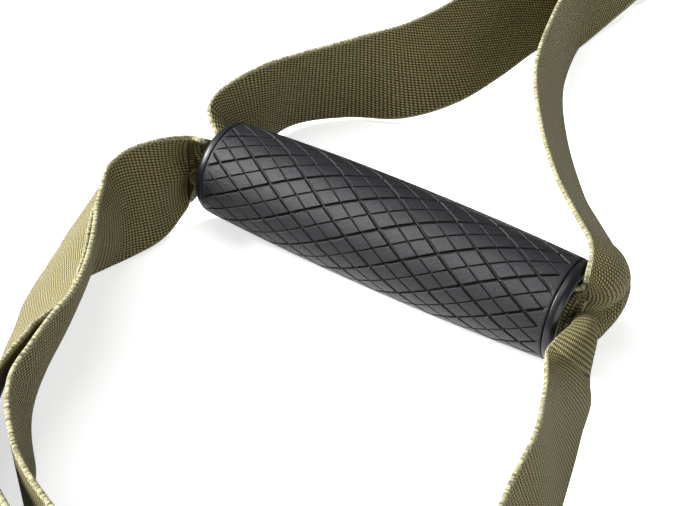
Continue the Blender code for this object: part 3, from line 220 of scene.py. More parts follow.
FOOT_LEFT_RAILS = (
    (-72.6, -8.4, 35.2, -72.6, -14.2, 17, 2.4, 0, 5.5),
    (-78.1, -8.8, 35, -79, -10.7, 6, 0.8, 0, 3.5),
    (-80.4, -15.6, 38, -79.5, -15.7, 3, 0.3, 0, 2),
    (-84, -22.1, 39, -78.5, -24, 1.5, 0, 0, 0.6),
    (-87.3, -28.9, 39, -78.6, -31.9, 1.2, 0, 0.5),
    (-87.9, -36.1, 39.2, -80.4, -39.2, 1.2, 0, 1.5),
    (-85.9, -44.3, 39.5, -82.7, -46.4, 1.3, 0, 3),
    (-80, -53.4, 39.6, -84.7, -52.2, 1.5, 0, 3),
    (-76.6, -59, 39.2, -86.6, -62, 2.2, 0, 3),
    (-70.9, -66.8, 38.5, -82.3, -71.8, 2.2, 0, 3),
    (-64.8, -75.7, 37.9, -78.8, -81.1, 2.3, 0, 3),
    (-60.1, -84.3, 37.1, -75.3, -90.7, 2.2, 0, 3),
    (-55.2, -95.3, 37.3, -70, -102.1, 2.4, 0, 3),
    (-52.8, -106.8, 37.6, -64.2, -112.8, 1.8, 0, 3),
    (-48.7, -119.6, 38.6, -54.1, -124.6, 1.4, 0, 1.5),
    (-43.3, -134.6, 38.9, -41.1, -134.6, 1.2),
    (-25, -152, 38.4, -25, -152, 0.5),
    (3, -164, 38.3, 3, -164, 0.4),
)
FOOT_RIGHT_RAILS = (
    (74, -4, 22.4, 74.5, 3.5, 13.5, 3.6, 4, 0.5),
    (74.6, -7.5, 25.6, 77.4, -2.8, 20, 3.3, -2.5),
    (75, -13.8, 26.4, 80.4, -8.4, 19, 2.9, -4),
    (73.6, -20.6, 26, 82.2, -12.8, 14, 2.6, -4.5),
    (72.7, -25, 24.5, 83.8, -15.6, 8, 2.2, -4),
    (76.6, -34.1, 29, 86.6, -18.6, 4, 1.5, -2.5),
    (82, -45.1, 33.6, 89.6, -30.1, 1.8, 0.8, -1),
    (86.2, -55.2, 36.4, 92.9, -41.3, 1.3, 0.2),
    (91.1, -69.7, 38.6, 100.3, -68.1, 1.8),
    (93.4, -86.1, 38.3, 105.6, -82.3, 2.5),
)
HEEL_RAILS = (
    (-89, -29, 33.5, -110.5, -31.5, 1.3),
    (-88.6, -34.6, 33.6, -109.4, -37.5, 1.3),
    (-88, -38, 33.4, -108.5, -43.3, 1.3),
    (-87.4, -41.5, 33.9, -106.5, -48.8, 1.3),
    (-84.9, -47.4, 33.8, -104.4, -54.2, 1.3),
    (-81.8, -52.4, 32.8, -102.7, -59.6, 1.3),
    (-79.9, -57.6, 32.8, -100.7, -64.9, 1.3),
    (-76.8, -62.9, 31.8, -99.1, -70.2, 1.3),
    (-74.3, -67, 31, -97.3, -75.3, 1.3),
    (-71.4, -71.4, 30, -94.5, -82.4, 1.3),
    (-65.8, -80.8, 29.9, -88.5, -93, 1.3),
    (-60.2, -92.6, 30.1, -83, -104, 1.3),
)

# Webbing mesh. Normals are taken over a step across and a reach along; a joint looks back by its reach.
NEAR_PITCH = 0.0005
FAR_PITCH = 0.002
LEAST_CURL = 0.002
VALLEY_SOFTNESS = 0.1
NORMAL_STEP = 0.004
NORMAL_REACH = 0.0012
JOINT_REACH = 0.004
RAIL_NUMBERS = 10

# Shares across the webbing and its share of the full thickness there: a flat face and rounded selvedges
EDGE_SHARES = ((0.5, 0.30), (0.4965, 0.62), (0.49, 0.86), (0.478, 0.98))
INNER_SHARE = 0.46
INNER_COUNT = 13

# Weave: size of a yarn's cell, slant and half size of its bump in cells, and how far the yarns stray
YARN_ACROSS = 0.00108
YARN_ALONG = 0.0031
YARN_SLANT = 0.5
BUMP_HALF_ACROSS = 0.43
BUMP_HALF_ALONG = 0.245
YARN_STRAY = 0.0005
WEAVE_RELIEF = 0.0005
SELVEDGE_START = 0.465
SELVEDGE_FULL = 0.485
SCALLOP = 0.00004
SCALLOP_LAG = 2.1

# Mesh lines on each side of a groove's middle in half widths of the groove, and between grooves
GROOVE_SHARES = (0.0, 0.38, 0.62, 0.84, 1.0, 1.22)
GROOVE_FLOOR = 0.38
BETWEEN_GROOVES = (0.32, 0.5, 0.68)
GROOVE_END = 0.09  # how much of a row a groove's end takes to run out
GROOVE_OVERRUN = 0.2  # share of that which lies inside the pattern's first row
ROW_MARGIN = 1.3
HALF_STEP = math.pi / LINES_PER_FAMILY
HALF_STEP_LENGTH = HALF_STEP * SLEEVE_MIDDLE_RADIUS
SPACING = 2 * ROW_PITCH * HALF_STEP_LENGTH / math.hypot(ROW_PITCH, HALF_STEP_LENGTH)
LAST_ROW = PATTERN_LENGTH / ROW_PITCH

# The sleeve's rounded rims: size, and the shares of it that each step lies from the end and inwards
RIM = 0.0006
RIM_STEPS = ((0.3, 0.1), (0, 0.45))

# The elastic's section: shares of its width, and 1 on its outer skin to 0 on its inner one
TIE_SECTION = (
    (-0.5, 0.75), (-0.48, 1), (-0.25, 1), (0, 1), (0.25, 1), (0.48, 1), (0.5, 0.75),
    (0.5, 0.25), (0.48, 0), (0, 0), (-0.48, 0), (-0.5, 0.25),
)

# Mesh counts
BAR_STEPS = 18
LOOP_STEPS = 6
FOLD_STEPS = 14
CLIMB_STEPS = 12
BEND_STEPS = 8
CAP_CORNER_STEPS = 6
CAP_SIDES = 96
WIRE_SIDES = 24
WIRE_PITCH = 0.003

# Linear colours
WHITE = (1, 1, 1, 1)
FLOOR_GREY = (0.72, 0.72, 0.72, 1)
YARN_SHADOW = (0.020, 0.0165, 0.0055, 1)
YARN_OLIVE = (0.30, 0.26, 0.105, 1)
YARN_BROWN = (0.17, 0.16, 0.06, 1)
TUFT_DARK = (0.10, 0.088, 0.042, 1)
TUFT_PALE = (0.40, 0.38, 0.25, 1)
RUBBER_DARK = (0.003, 0.003, 0.004, 1)
RUBBER_WORN = (0.017, 0.017, 0.020, 1)
RUBBER_DUSTY = (0.018, 0.018, 0.021, 1)
# Painted shade for the sleeve's grooves
RUBBER_GROOVE_SHADE = (0.0012, 0.0012, 0.0014, 1)
ELASTIC_DARK = (0.006, 0.006, 0.007, 1)
ELASTIC_RIB = (0.032, 0.032, 0.034, 1)

# Stage, lamps and camera. Lamps: name, direction in shares of the camera's right, up and towards it,
# distance, size and power
FLOOR_SIZE = 14.0
FLOOR_GLOW = 0.66
WORLD_STRENGTH = 0.15
LAMPS = (
    ("key", (-0.83, 0.49, 0.28), 2.2, 0.8, 185),
    ("top", (-0.2, 0.75, 0.63), 2.2, 1.2, 20),
    ("fill", (0.45, -0.35, 0.8), 2.6, 1.6, 40),
)
FORWARD = Vector((-0.4284, 0.6351, -0.6428))
RIGHT = Vector((0.8290, 0.5592, 0))
UP = RIGHT.cross(FORWARD)
CAMERA_FROM_GRIP = Vector((0.1953, -0.3211, 0.3071))
FOCAL_PIXELS = 1421
PICTURE_WIDTH_PIXELS = 674
SENSOR_WIDTH_MM = 36

low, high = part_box("grip_sleeve_1")
GRIP_CENTRE = np.array((low + high) / 2)
SHIFT = GRIP_CENTRE - np.array([0, 0, AXIS_HEIGHT])


# Shaders


class Graph:
    """Short calls for building one material's nodes."""

    def __init__(self, name):
        self.material = bpy.data.materials.new(name)
        self.material.use_nodes = True
        self.tree = self.material.node_tree
        self.shader = self.tree.nodes["Principled BSDF"]

    def node(self, kind, **settings):
        made = self.tree.nodes.new(kind)
        for key, value in settings.items():
            setattr(made, key, value)
        return made

    def link(self, source, target):
        if hasattr(source, "default_value"):
            self.tree.links.new(source, target)
        else:
            target.default_value = source

    def math(self, operation, *values, clamp=False):
        made = self.node("ShaderNodeMath", operation=operation, use_clamp=clamp)
        for value, socket in zip(values, made.inputs):
            self.link(value, socket)
        return made.outputs[0]

    def ramp(self, value, low, high, to_low=0.0, to_high=1.0):
        made = self.node("ShaderNodeMapRange", interpolation_type="SMOOTHSTEP")
        for number, socket in zip((value, low, high, to_low, to_high), made.inputs):
            self.link(number, socket)
        return made.outputs[0]

    def mix(self, share, first, second):
        made = self.node("ShaderNodeMix", data_type="RGBA")
        self.link(share, made.inputs[0])
        self.link(first, made.inputs[6])
        self.link(second, made.inputs[7])
        return made.outputs[2]

    def noise(self, vector, scale, detail=2, roughness=0.5):
        made = self.node("ShaderNodeTexNoise")
        self.link(vector, made.inputs["Vector"])
        made.inputs["Scale"].default_value = scale
        made.inputs["Detail"].default_value = detail
        made.inputs["Roughness"].default_value = roughness
        return made.outputs[0]

    def bump(self, height, distance, strength=1):
        made = self.node("ShaderNodeBump")
        made.inputs["Strength"].default_value = strength
        made.inputs["Distance"].default_value = distance
        self.link(height, made.inputs["Height"])
        return made.outputs[0]

    def place(self):
        """Coordinates that ride with the object."""
        return self.node("ShaderNodeTexCoord").outputs["Object"]

    def set(self, **values):
        for key, value in values.items():
            self.link(value, self.shader.inputs[key.replace("_", " ")])


def webbing_material():
    """A weave of staggered, slanted yarn bumps, laid out by UVs in metres, with pale tufted selvedges."""
    g = Graph("webbing_olive")
    uv = g.node("ShaderNodeUVMap", uv_map="weave").outputs[0]
    parts = g.node("ShaderNodeSeparateXYZ")
    g.link(uv, parts.inputs[0])
    across, along = parts.outputs[0], parts.outputs[1]
    stray = g.math("SUBTRACT", g.noise(uv, scale=260, detail=1), 0.5)
    across = g.math("ADD", across, g.math("MULTIPLY", stray, YARN_STRAY))
    u = g.math("DIVIDE", across, YARN_ACROSS)
    v = g.math("DIVIDE", along, YARN_ALONG)

    def from_bump(shift):
        """Squared distance from the middle of a cell's bump, 1 at the bump's rim."""
        fu = g.math("SUBTRACT", g.math("FRACT", g.math("ADD", u, shift)), 0.5)
        fv = g.math("SUBTRACT", g.math("FRACT", g.math("ADD", v, shift)), 0.5)
        fu = g.math("SUBTRACT", fu, g.math("MULTIPLY", fv, YARN_SLANT))
        du = g.math("POWER", g.math("DIVIDE", fu, BUMP_HALF_ACROSS), 2.0)
        dv = g.math("POWER", g.math("DIVIDE", fv, BUMP_HALF_ALONG), 2.0)
        return g.math("ADD", du, dv)

    nearest = g.math("MINIMUM", from_bump(0.0), from_bump(0.5))
    yarn = g.math("SQRT", g.math("SUBTRACT", 1.0, nearest, clamp=True))
    fibre = g.noise(uv, scale=5200)
    speckle = g.math("MULTIPLY", g.math("SUBTRACT", fibre, 0.5), 0.5)
    shade = g.math("ADD", g.math("MULTIPLY", yarn, 0.95), speckle, clamp=True)
    body = g.mix(shade, YARN_SHADOW, YARN_OLIVE)
    cloud = g.math("MULTIPLY", g.noise(uv, scale=55, detail=3), 0.5)
    body = g.mix(g.math("MULTIPLY", g.math("MULTIPLY", cloud, yarn), 0.5), body, YARN_BROWN)
    edge = g.ramp(g.math("ABSOLUTE", across), WEB_WIDTH * SELVEDGE_START, WEB_WIDTH * SELVEDGE_FULL)
    tuft = g.ramp(g.noise(uv, scale=1500), 0.35, 0.65)
    fringe = g.mix(tuft, TUFT_DARK, TUFT_PALE)
    height = g.math("MULTIPLY", yarn, g.math("SUBTRACT", 1.0, g.math("MULTIPLY", edge, 0.7)))
    relief = g.math("ADD", height, g.math("MULTIPLY", fibre, 0.25))
    g.set(
        Base_Color=g.mix(g.math("MULTIPLY", edge, 0.8), body, fringe),
        Roughness=g.ramp(height, 0.0, 1.0, 0.95, 0.55),
        Normal=g.bump(relief, WEAVE_RELIEF),
        Specular_IOR_Level=0.28,
    )
    return g.material


def rubber_material():
    """Fine-grained rubber with broad dusty patches, and painted shade in the grooves."""
    g = Graph("rubber_black")
    place = g.place()
    grain = g.noise(place, scale=1900, detail=3, roughness=0.65)
    patches = g.noise(place, scale=70, detail=3)
    colour = g.mix(g.math("MULTIPLY", grain, 0.8), RUBBER_DARK, RUBBER_WORN)
    colour = g.mix(g.math("MULTIPLY", patches, 0.25), colour, RUBBER_DUSTY)
    # Painted shade: the colour darkens in the grooves as they deepen.
    depth = g.node("ShaderNodeAttribute", attribute_name="groove").outputs["Fac"]
    g.set(
        Base_Color=g.mix(depth, colour, RUBBER_GROOVE_SHADE),
        Roughness=g.ramp(grain, 0.25, 0.75, 0.55, 0.36),
        Normal=g.bump(grain, distance=0.0003, strength=0.9),
        Specular_IOR_Level=0.24,
    )
    return g.material


def plastic_material(name, dark, light, rough):
    """Moulded plastic with faint smears."""
    g = Graph(name)
    place = g.place()
    grain = g.noise(place, scale=2600)
    smear = g.noise(place, scale=90, detail=3)
    g.set(
        Base_Color=g.mix(smear, dark, light),
        Roughness=g.ramp(smear, 0.3, 0.7, rough - 0.07, rough + 0.07),
        Normal=g.bump(grain, distance=0.00005, strength=0.3),
        Specular_IOR_Level=0.3,
    )
    return g.material


def steel_material(name, dark, light, rough, scale):
    """Satin metal with cloudy wear and fine scratches, drawn out along the axis of the least scale."""
    g = Graph(name)
    place = g.place()
    stretch = g.node("ShaderNodeMapping")
    g.link(place, stretch.inputs["Vector"])
    stretch.inputs["Scale"].default_value = scale
    scratch = g.noise(stretch.outputs[0], scale=600, detail=3, roughness=0.7)
    cloud = g.noise(place, scale=120, detail=3)
    g.set(
        Base_Color=g.mix(cloud, dark, light),
        Metallic=1.0,
        Roughness=g.ramp(scratch, 0.3, 0.7, rough - 0.08, rough + 0.1),
        Normal=g.bump(scratch, distance=0.00003, strength=0.35),
    )
    return g.material


def elastic_material():
    """Ribbed elastic: ribs run round the band, across Y."""
    g = Graph("elastic_black")
    place = g.place()
    wave = g.node("ShaderNodeTexWave", wave_type="BANDS", bands_direction="Y", wave_profile="SIN")
    g.link(place, wave.inputs["Vector"])
    wave.inputs["Scale"].default_value = 260.0
    wave.inputs["Distortion"].default_value = 0.0
    grain = g.noise(place, scale=3000)
    height = g.math("ADD", wave.outputs["Fac"], g.math("MULTIPLY", grain, 0.4))
    g.set(
        Base_Color=g.mix(height, ELASTIC_DARK, ELASTIC_RIB),
        Roughness=0.85,
        Normal=g.bump(height, distance=0.0004, strength=0.8),
        Sheen_Weight=0.2,
    )
    return g.material


WEBBING = webbing_material()
RUBBER = rubber_material()
CAP = plastic_material("plastic_black", (0.0045, 0.0045, 0.0055, 1), (0.009, 0.009, 0.011, 1), 0.34)
CORE = plastic_material("core_plastic", (0.035, 0.035, 0.036, 1), (0.06, 0.06, 0.062, 1), 0.5)
STEEL = steel_material("steel_satin", (0.3, 0.3, 0.31, 1), (0.4, 0.4, 0.41, 1), 0.3, (1, 4, 4))
BLACKENED = steel_material("steel_black", (0.03, 0.03, 0.033, 1), (0.055, 0.055, 0.06, 1), 0.42, (4, 1, 4))
ELASTIC = elastic_material()


# Meshes


def placed(points, side):
    """Points of side 1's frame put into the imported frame, mirrored for side 2."""
    points = np.array(points, float)
    if side == 2:
        points[..., 0] = 2 * MIRROR_X - points[..., 0]
    return points + SHIFT


def add_object(name, data):
    obj = bpy.data.objects.new(name, data)
    bpy.context.scene.collection.objects.link(obj)
    return obj


def make_object(name, points, faces, material, uvs=None):
    mesh = bpy.data.meshes.new(name)
    mesh.from_pydata(np.asarray(points).tolist(), [], faces)
    if uvs is not None:
        layer = mesh.uv_layers.new(name="weave")
        layer.data.foreach_set("uv", np.asarray(uvs, np.float32).ravel())
    mesh.materials.append(material)
    mesh.polygons.foreach_set("use_smooth", [True] * len(mesh.polygons))
    mesh.update()
    return add_object(name, mesh)


def outward(obj):
    """Turns the faces of a closed mesh outwards."""
    work = bmesh.new()
    work.from_mesh(obj.data)
    bmesh.ops.recalc_face_normals(work, faces=work.faces)
    work.to_mesh(obj.data)
    work.free()
    return obj


def dressed(obj, body, slot, *nodes):
    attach(obj, body)
    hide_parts(*nodes)


def grid_quads(rows, count, closed=True):
    """Quads between the neighbouring rows of a grid of points whose rows run round."""
    a = np.arange(rows if closed else rows - 1)[:, None] * count
    b = (a + count) % (rows * count)
    j = np.arange(count)[None, :]
    k = (j + 1) % count
    return np.stack([a + j, a + k, b + k, b + j], axis=-1)


def unit(vectors):
    vectors = np.asarray(vectors, float)
    return vectors / np.linalg.norm(vectors, axis=-1, keepdims=True)


def tangents(points, closed=False):
    if closed:
        return unit(np.roll(points, -1, axis=0) - np.roll(points, 1, axis=0))
    return unit(np.gradient(points, axis=0))


def flow(stations, pitch, drop=(0, 0)):
    """The CAD model's curve through the stations, sampled finely, less the dropped first and last spans."""
    stations = np.array(stations, float)
    count = len(stations)
    samples = []
    for i in range(drop[0], count - 1 - drop[1]):
        p1 = stations[i]
        p2 = stations[i + 1]
        p0 = stations[i - 1] if i else 2 * p1 - p2
        p3 = stations[i + 2] if i + 2 < count else 2 * p2 - p1
        pieces = max(1, round(np.linalg.norm(p2[:3] - p1[:3]) / pitch))
        d01, d12, d23 = (np.sqrt(np.linalg.norm(b[:3] - a[:3])) for a, b in ((p0, p1), (p1, p2), (p2, p3)))
        m1 = ((p1 - p0) / d01 - (p2 - p0) / (d01 + d12) + (p2 - p1) / d12) * d12
        m2 = ((p2 - p1) / d12 - (p3 - p1) / (d12 + d23) + (p3 - p2) / d23) * d12
        t = (np.arange(pieces) / pieces)[:, None]
        samples.append(
            (2 * t**3 - 3 * t**2 + 1) * p1
            + (t**3 - 2 * t**2 + t) * m1
            + (3 * t**2 - 2 * t**3) * p2
            + (t**3 - t**2) * m2
        )
    if not drop[1]:
        samples.append(stations[-1:])
    return np.concatenate(samples)


def straight(stations, pitch):
    """Straight spans between the stations, cut to the pitch."""
    stations = np.array(stations, float)
    samples = []
    for a, b in zip(stations, stations[1:]):
        pieces = max(1, round(np.linalg.norm(b[:3] - a[:3]) / pitch))
        t = (np.arange(pieces) / pieces)[:, None]
        samples.append(a + (b - a) * t)
    samples.append(stations[-1:])
    return np.concatenate(samples)


def route(shares, unit_y, back, back_share):
    """A route table's stations in metres. Curled ones take their place behind the axis from the bore."""
    stations = np.array(shares, float)
    curl = stations[:, 6]
    standing = STANDING_HEIGHT / STANDING_SHARE
    stations[:, 0] *= SLEEVE_LENGTH / 2 / GRIP_END_SHARE
    stations[:, 1] = stations[:, 1] * unit_y + curl * (back - back_share * unit_y)
    stations[:, 2] = stations[:, 2] * standing + curl * (AXIS_HEIGHT - AXIS_SHARE * standing)
    return [tuple(station) for station in stations]


def flat_station(y, z, x=STRAP_X):
    return (x, y, z, -1, 0, 0, 0)


def turn(y, z, radius, start, end, steps, x=STRAP_X):
    angles = np.linspace(math.radians(start), math.radians(end), steps + 1)
    return [flat_station(y + radius * math.cos(a), z + radius * math.sin(a), x) for a in angles]


def profile():
    """Shares across the webbing with their shares of its thickness, from edge to edge."""
    inner = [(s, 1.0) for s in np.linspace(-INNER_SHARE, INNER_SHARE, INNER_COUNT)]
    left = [(-s, t) for s, t in EDGE_SHARES]
    right = [(s, t) for s, t in reversed(EDGE_SHARES)]
    return np.array(left + inner + right)


class Ribbon:
    """Webbing along rail samples: its middle surface, its run and its mesh."""

    def __init__(self, samples, closed=False, thickness=WEB_THICKNESS):
        self.middle = samples[:, :3]
        self.half = samples[:, 3:6]
        curl, self.sag, self.lobe, self.valley = samples[:, 6:].T
        self.curl = np.maximum(curl, LEAST_CURL)
        self.closed = closed
        self.thickness = np.broadcast_to(thickness, len(samples))
        self.normal = unit(np.cross(tangents(self.middle, closed), self.half))
        self.span = np.linalg.norm(np.diff(self.middle, axis=0), axis=1).sum()
        line = self.face(0.0)
        steps = np.linalg.norm(np.diff(line, axis=0), axis=1)
        self.run = np.concatenate([[0], np.cumsum(steps)])
        self.length = self.run[-1]
        if closed:
            self.length += np.linalg.norm(line[0] - line[-1])

    def face(self, share):
        """Points of the middle surface at one share of the width."""
        curl = self.curl
        across = np.sin(share * curl) / np.sin(curl / 2)
        deep = (np.cos(share * curl) - np.cos(curl / 2)) / (1 - np.cos(curl / 2))
        part = np.where(share < self.valley, self.valley + 0.5, 0.5 - self.valley)
        wave = np.sin(math.pi * (share - self.valley) / part)
        lobes = 2 * part * (np.hypot(wave, VALLEY_SOFTNESS) - VALLEY_SOFTNESS)
        lift = lobes * self.lobe - deep * self.sag
        return self.middle + across[:, None] * self.half + lift[:, None] * self.normal

    def skin(self, share, height):
        """Points at one share of the width, lifted off the middle surface by height."""
        here = self.face(share)
        across = self.face(share + NORMAL_STEP) - self.face(share - NORMAL_STEP)
        out = unit(np.cross(tangents(here, self.closed), across))
        reach = max(1, round(NORMAL_REACH * len(here) / self.span))
        padded = np.pad(out, ((reach + 1, reach), (0, 0)), mode="wrap" if self.closed else "edge")
        total = np.cumsum(padded, axis=0)
        out = unit(total[2 * reach + 1:] - total[:-2 * reach - 1])
        return here + out * np.broadcast_to(height, len(here))[:, None]

    def skins(self, scallop):
        """Rows of points round the webbing, and each column's place across it in metres."""
        columns = []
        places = []
        beat = 4 * math.pi * self.run / YARN_ALONG
        edge_way = unit(self.half)
        shares = profile()
        for sign, rows in ((1, shares), (-1, shares[::-1])):
            for share, thick in rows:
                line = self.skin(share, sign * thick * self.thickness / 2)
                if scallop and abs(share) > SELVEDGE_FULL:
                    push = scallop * np.sin(beat + (0 if share > 0 else SCALLOP_LAG))
                    line = line + np.sign(share) * push[:, None] * edge_way
                columns.append(line)
                places.append(share * WEB_WIDTH)
        return np.stack(columns, axis=1), np.array(places)

    def mesh(self, name, side, scallop=0.0):
        grid, us = self.skins(scallop)
        rows, count = grid.shape[:2]
        # A closed strap holds a whole number of yarns.
        yarns = self.length / YARN_ALONG
        stretch = round(yarns) * YARN_ALONG / self.length if self.closed else 1.0
        v_at = np.append(self.run, self.length) * stretch
        quads = grid_quads(rows, count, self.closed)
        flat = quads.shape[:2]
        i = np.arange(flat[0])[:, None]
        j = np.arange(count)[None, :]
        k = (j + 1) % count
        corners = ((us[j], v_at[i]), (us[k], v_at[i]), (us[k], v_at[i + 1]), (us[j], v_at[i + 1]))
        pairs = [np.stack([np.broadcast_to(c, flat) for c in pair], axis=-1) for pair in corners]
        uv = np.stack(pairs, axis=2).reshape(-1, 2)
        faces = quads.reshape(-1, 4).tolist()
        if not self.closed:
            # The cut ends are strips of quads between the two skins.
            for base, v, turned_round in ((0, v_at[0], True), ((rows - 1) * count, v_at[rows - 1], False)):
                for m in range(count // 2 - 1):
                    quad = [base + m, base + m + 1, base + count - 2 - m, base + count - 1 - m]
                    corner_u = [us[m], us[m + 1], us[m + 1], us[m]]
                    if turned_round:
                        quad.reverse()
                        corner_u.reverse()
                    faces.append(quad)
                    uv = np.concatenate([uv, np.array([[u, v] for u in corner_u])])
        return outward(make_object(name, placed(grid.reshape(-1, 3), side), faces, WEBBING, uv))


def wire(points, radius):
    """Points and faces of a closed round bar along the points, which lie level."""
    points = np.array(points, float)
    along = tangents(points, closed=True)
    side_way = unit(np.cross(along, (0, 0, 1)))
    other_way = np.cross(side_way, along)
    angles = 2 * math.pi * np.arange(WIRE_SIDES) / WIRE_SIDES
    aside = np.cos(angles)[None, :, None] * side_way[:, None]
    over = np.sin(angles)[None, :, None] * other_way[:, None]
    return tube(points[:, None] + radius * (aside + over))


def tube(grid):
    """Points and faces of a surface closed both along its rows and round each row."""
    return grid.reshape(-1, 3), grid_quads(*grid.shape[:2]).reshape(-1, 4).tolist()


def turned(outline, sides):
    """A closed outline of (x, radius) turned round the grip's axis."""
    outline = np.array(outline, float)
    angles = 2 * math.pi * np.arange(sides) / sides
    x = np.broadcast_to(outline[None, :, 0], (sides, len(outline)))
    y = outline[None, :, 1] * np.cos(angles)[:, None]
    z = AXIS_HEIGHT + outline[None, :, 1] * np.sin(angles)[:, None]
    return tube(np.stack([x, y, z], axis=-1))


def rounded_outline(corners, steps):
    """An outline whose corners, given as x, y and radius, are rounded."""
    made = []
    count = len(corners)
    for n in range(count):
        before = np.array(corners[n - 1][:2], float)
        here = np.array(corners[n][:2], float)
        after = np.array(corners[(n + 1) % count][:2], float)
        radius = corners[n][2]
        if radius <= 0:
            made.append(tuple(here))
            continue
        reach = min(radius, np.linalg.norm(before - here) * 0.45, np.linalg.norm(after - here) * 0.45)
        start = here + unit(before - here) * reach
        end = here + unit(after - here) * reach
        for step in range(steps + 1):
            t = step / steps
            made.append(tuple((1 - t) ** 2 * start + 2 * t * (1 - t) * here + t**2 * end))
    return made


def rounded_box_path(half_x, half_y, corner):
    path = []
    for start, sx, sy in ((0, 1, 1), (90, -1, 1), (180, -1, -1), (270, 1, -1)):
        for step in range(BEND_STEPS + 1):
            angle = math.radians(start + 90 * step / BEND_STEPS)
            x = sx * (half_x - corner) + corner * math.cos(angle)
            path.append((x, sy * (half_y - corner) + corner * math.sin(angle)))
    return path


# Webbing


def curled(samples, full_curl=0.0, width=WEB_WIDTH):
    """Route samples as rail samples: middle, half width, curl, sag, lobes and the valley between them."""
    along = tangents(samples[:, :3])
    upper = samples[:, 3:6]
    upper = unit(upper - (upper * along).sum(axis=1, keepdims=True) * along)
    curl = np.maximum(full_curl * np.clip(samples[:, 6], 0, 1), LEAST_CURL)
    radius = width / curl
    lift = radius * (1 - np.cos(curl / 2))
    half = radius * np.sin(curl / 2)
    middle = samples[:, :3] + lift[:, None] * np.cross(along, upper)
    return np.column_stack([middle, half[:, None] * upper, curl, lift, np.zeros((len(samples), 2))])


def rails(rows):
    """Rail stations, as curled gives them, from a rail table's rows."""
    rows = np.array([(*row, *[0] * (RAIL_NUMBERS - len(row))) for row in rows], float)
    upper, lower = rows[:, :3] / 1000, rows[:, 3:6] / 1000
    middle, half = (upper + lower) / 2, (upper - lower) / 2
    return np.column_stack([middle, half, rows[:, 6], rows[:, 7:9] / 1000, rows[:, 9]])


def joined(before, rows, after, pitch):
    """Rail samples that run on from before through the rows' stations into after."""
    reach = max(1, round(JOINT_REACH / pitch))
    stations = [before[-1 - reach], before[-1], *rails(rows), after[0], after[reach]]
    return np.concatenate([before[:-1], flow(stations, pitch, drop=(1, 1)), after])


def hand_ribbon(pitch):
    full = WEB_WIDTH / HAND_CURL_RADIUS
    tables = (HAND_RIGHT, HAND_LEFT)
    right, left = (route(table, HAND_UNIT_Y, HAND_CURL_RADIUS, HAND_BACK_SHARE) for table in tables)
    bar = [flat_station(RING_NEAR_Y - WRAP_LEAD, RING_Z + RING_TURN)]
    bar += turn(RING_NEAR_Y, RING_Z, RING_TURN, 90, -90, LOOP_STEPS)
    bar += [flat_station(RING_NEAR_Y - WRAP_LEAD, RING_Z - RING_TURN)]
    first = curled(flow(right[1:4], pitch), full)
    rest = curled(flow(right[4:] + bar + left + right[:2], pitch), full)
    return Ribbon(joined(first, HAND_RIGHT_RAILS, rest, pitch)[:-1], closed=True)


def foot_ribbon(pitch):
    full = WEB_WIDTH / FOOT_CURL_RADIUS
    stations = route(FOOT, FOOT_UNIT_Y, FOOT_BACK, FOOT_BACK_SHARE)
    parts = (stations[:3], stations[3:-3], stations[-3:])
    left, loop, right = (curled(flow(part, pitch), full) for part in parts)
    samples = joined(left, FOOT_LEFT_RAILS, loop, pitch)
    return Ribbon(joined(samples, FOOT_RIGHT_RAILS[::-1], right, pitch))


def heel_ribbon(pitch):
    rest = curled(flow(route(HEEL, FOOT_UNIT_Y, FOOT_BACK, FOOT_BACK_SHARE), pitch))
    reach = max(1, round(JOINT_REACH / pitch))
    lead = flow([*rails(HEEL_RAILS), rest[0], rest[reach]], pitch, drop=(0, 1))
    return Ribbon(np.concatenate([lead, rest]))


def eased_stations(start, run, start_z, end_z):
    """Flat stations along y whose height goes smoothly from one level to another."""
    made = []
    for step in range(CLIMB_STEPS + 1):
        t = step / CLIMB_STEPS
        ease = t * t * (3 - 2 * t)
        made.append(flat_station(start + t * run, start_z + ease * (end_z - start_z)))
    return made


def main_ribbon(pitch):
    """From the buckle's bar round the ring link, back through the buckle, folded, and on to the seam."""
    far_bar_y = RING_NEAR_Y + RING_PITCH_Y
    top = RING_Z + RING_TURN
    wrap_y = BUCKLE_BAR_Y + BUCKLE_BAR_LENGTH / 2 - WRAP_SHIFT
    climb_start = BUCKLE_BAR_Y + BUCKLE_BAR_LENGTH
    plate_end = BUCKLE_BAR_Y + BUCKLE_PLATE_LENGTH
    end_y = HANK_START_Y + HANK_LENGTH
    stations = [flat_station(BUCKLE_BAR_Y - BAR_RETURN, BAR_Z + BAR_TURN)]
    stations += turn(wrap_y, BAR_Z, BAR_TURN, 90, -90, BAR_STEPS)
    stations += turn(far_bar_y, RING_Z, RING_TURN, 270, 90, BAR_STEPS)
    stations += eased_stations(climb_start, CHANNEL_CLIMB, top, CHANNEL_HEIGHT)
    stations += eased_stations(plate_end, HANK_START_Y - plate_end, CHANNEL_HEIGHT, HANK_BASE)
    for layer in range(HANK_LAYERS - 1):
        height = HANK_BASE + (layer + 0.5) * HANK_PITCH
        if layer % 2 == 0:
            stations += turn(end_y, height, HANK_PITCH / 2, -90, 90, FOLD_STEPS)
        else:
            stations += turn(HANK_START_Y, height, HANK_PITCH / 2, 270, 90, FOLD_STEPS)
    top_layer = HANK_BASE + (HANK_LAYERS - 1) * HANK_PITCH
    beside = MIRROR_X + SEWN_PITCH / 2
    tail = [flat_station(end_y, top_layer), flat_station(end_y + HANK_EXIT, top_layer)]
    for x, y, z, *rest in TAIL:
        place = (MIRROR_X + x * (STRAP_X - MIRROR_X), end_y + y * TAIL_RUN, z * STANDING_HEIGHT)
        tail.append((*place, *rest))
    tail.append((beside, SEWN_START_Y, STANDING_HEIGHT, 0, 0, 1, 0))
    sewn_end = (beside, SEWN_START_Y + SEWN_LENGTH - SEWN_MARGIN, STANDING_HEIGHT, 0, 0, 1, 0)
    sewn = straight([tail[-1], sewn_end], pitch)[1:]
    return Ribbon(curled(np.concatenate([straight(stations, pitch), flow(tail, pitch), sewn])))


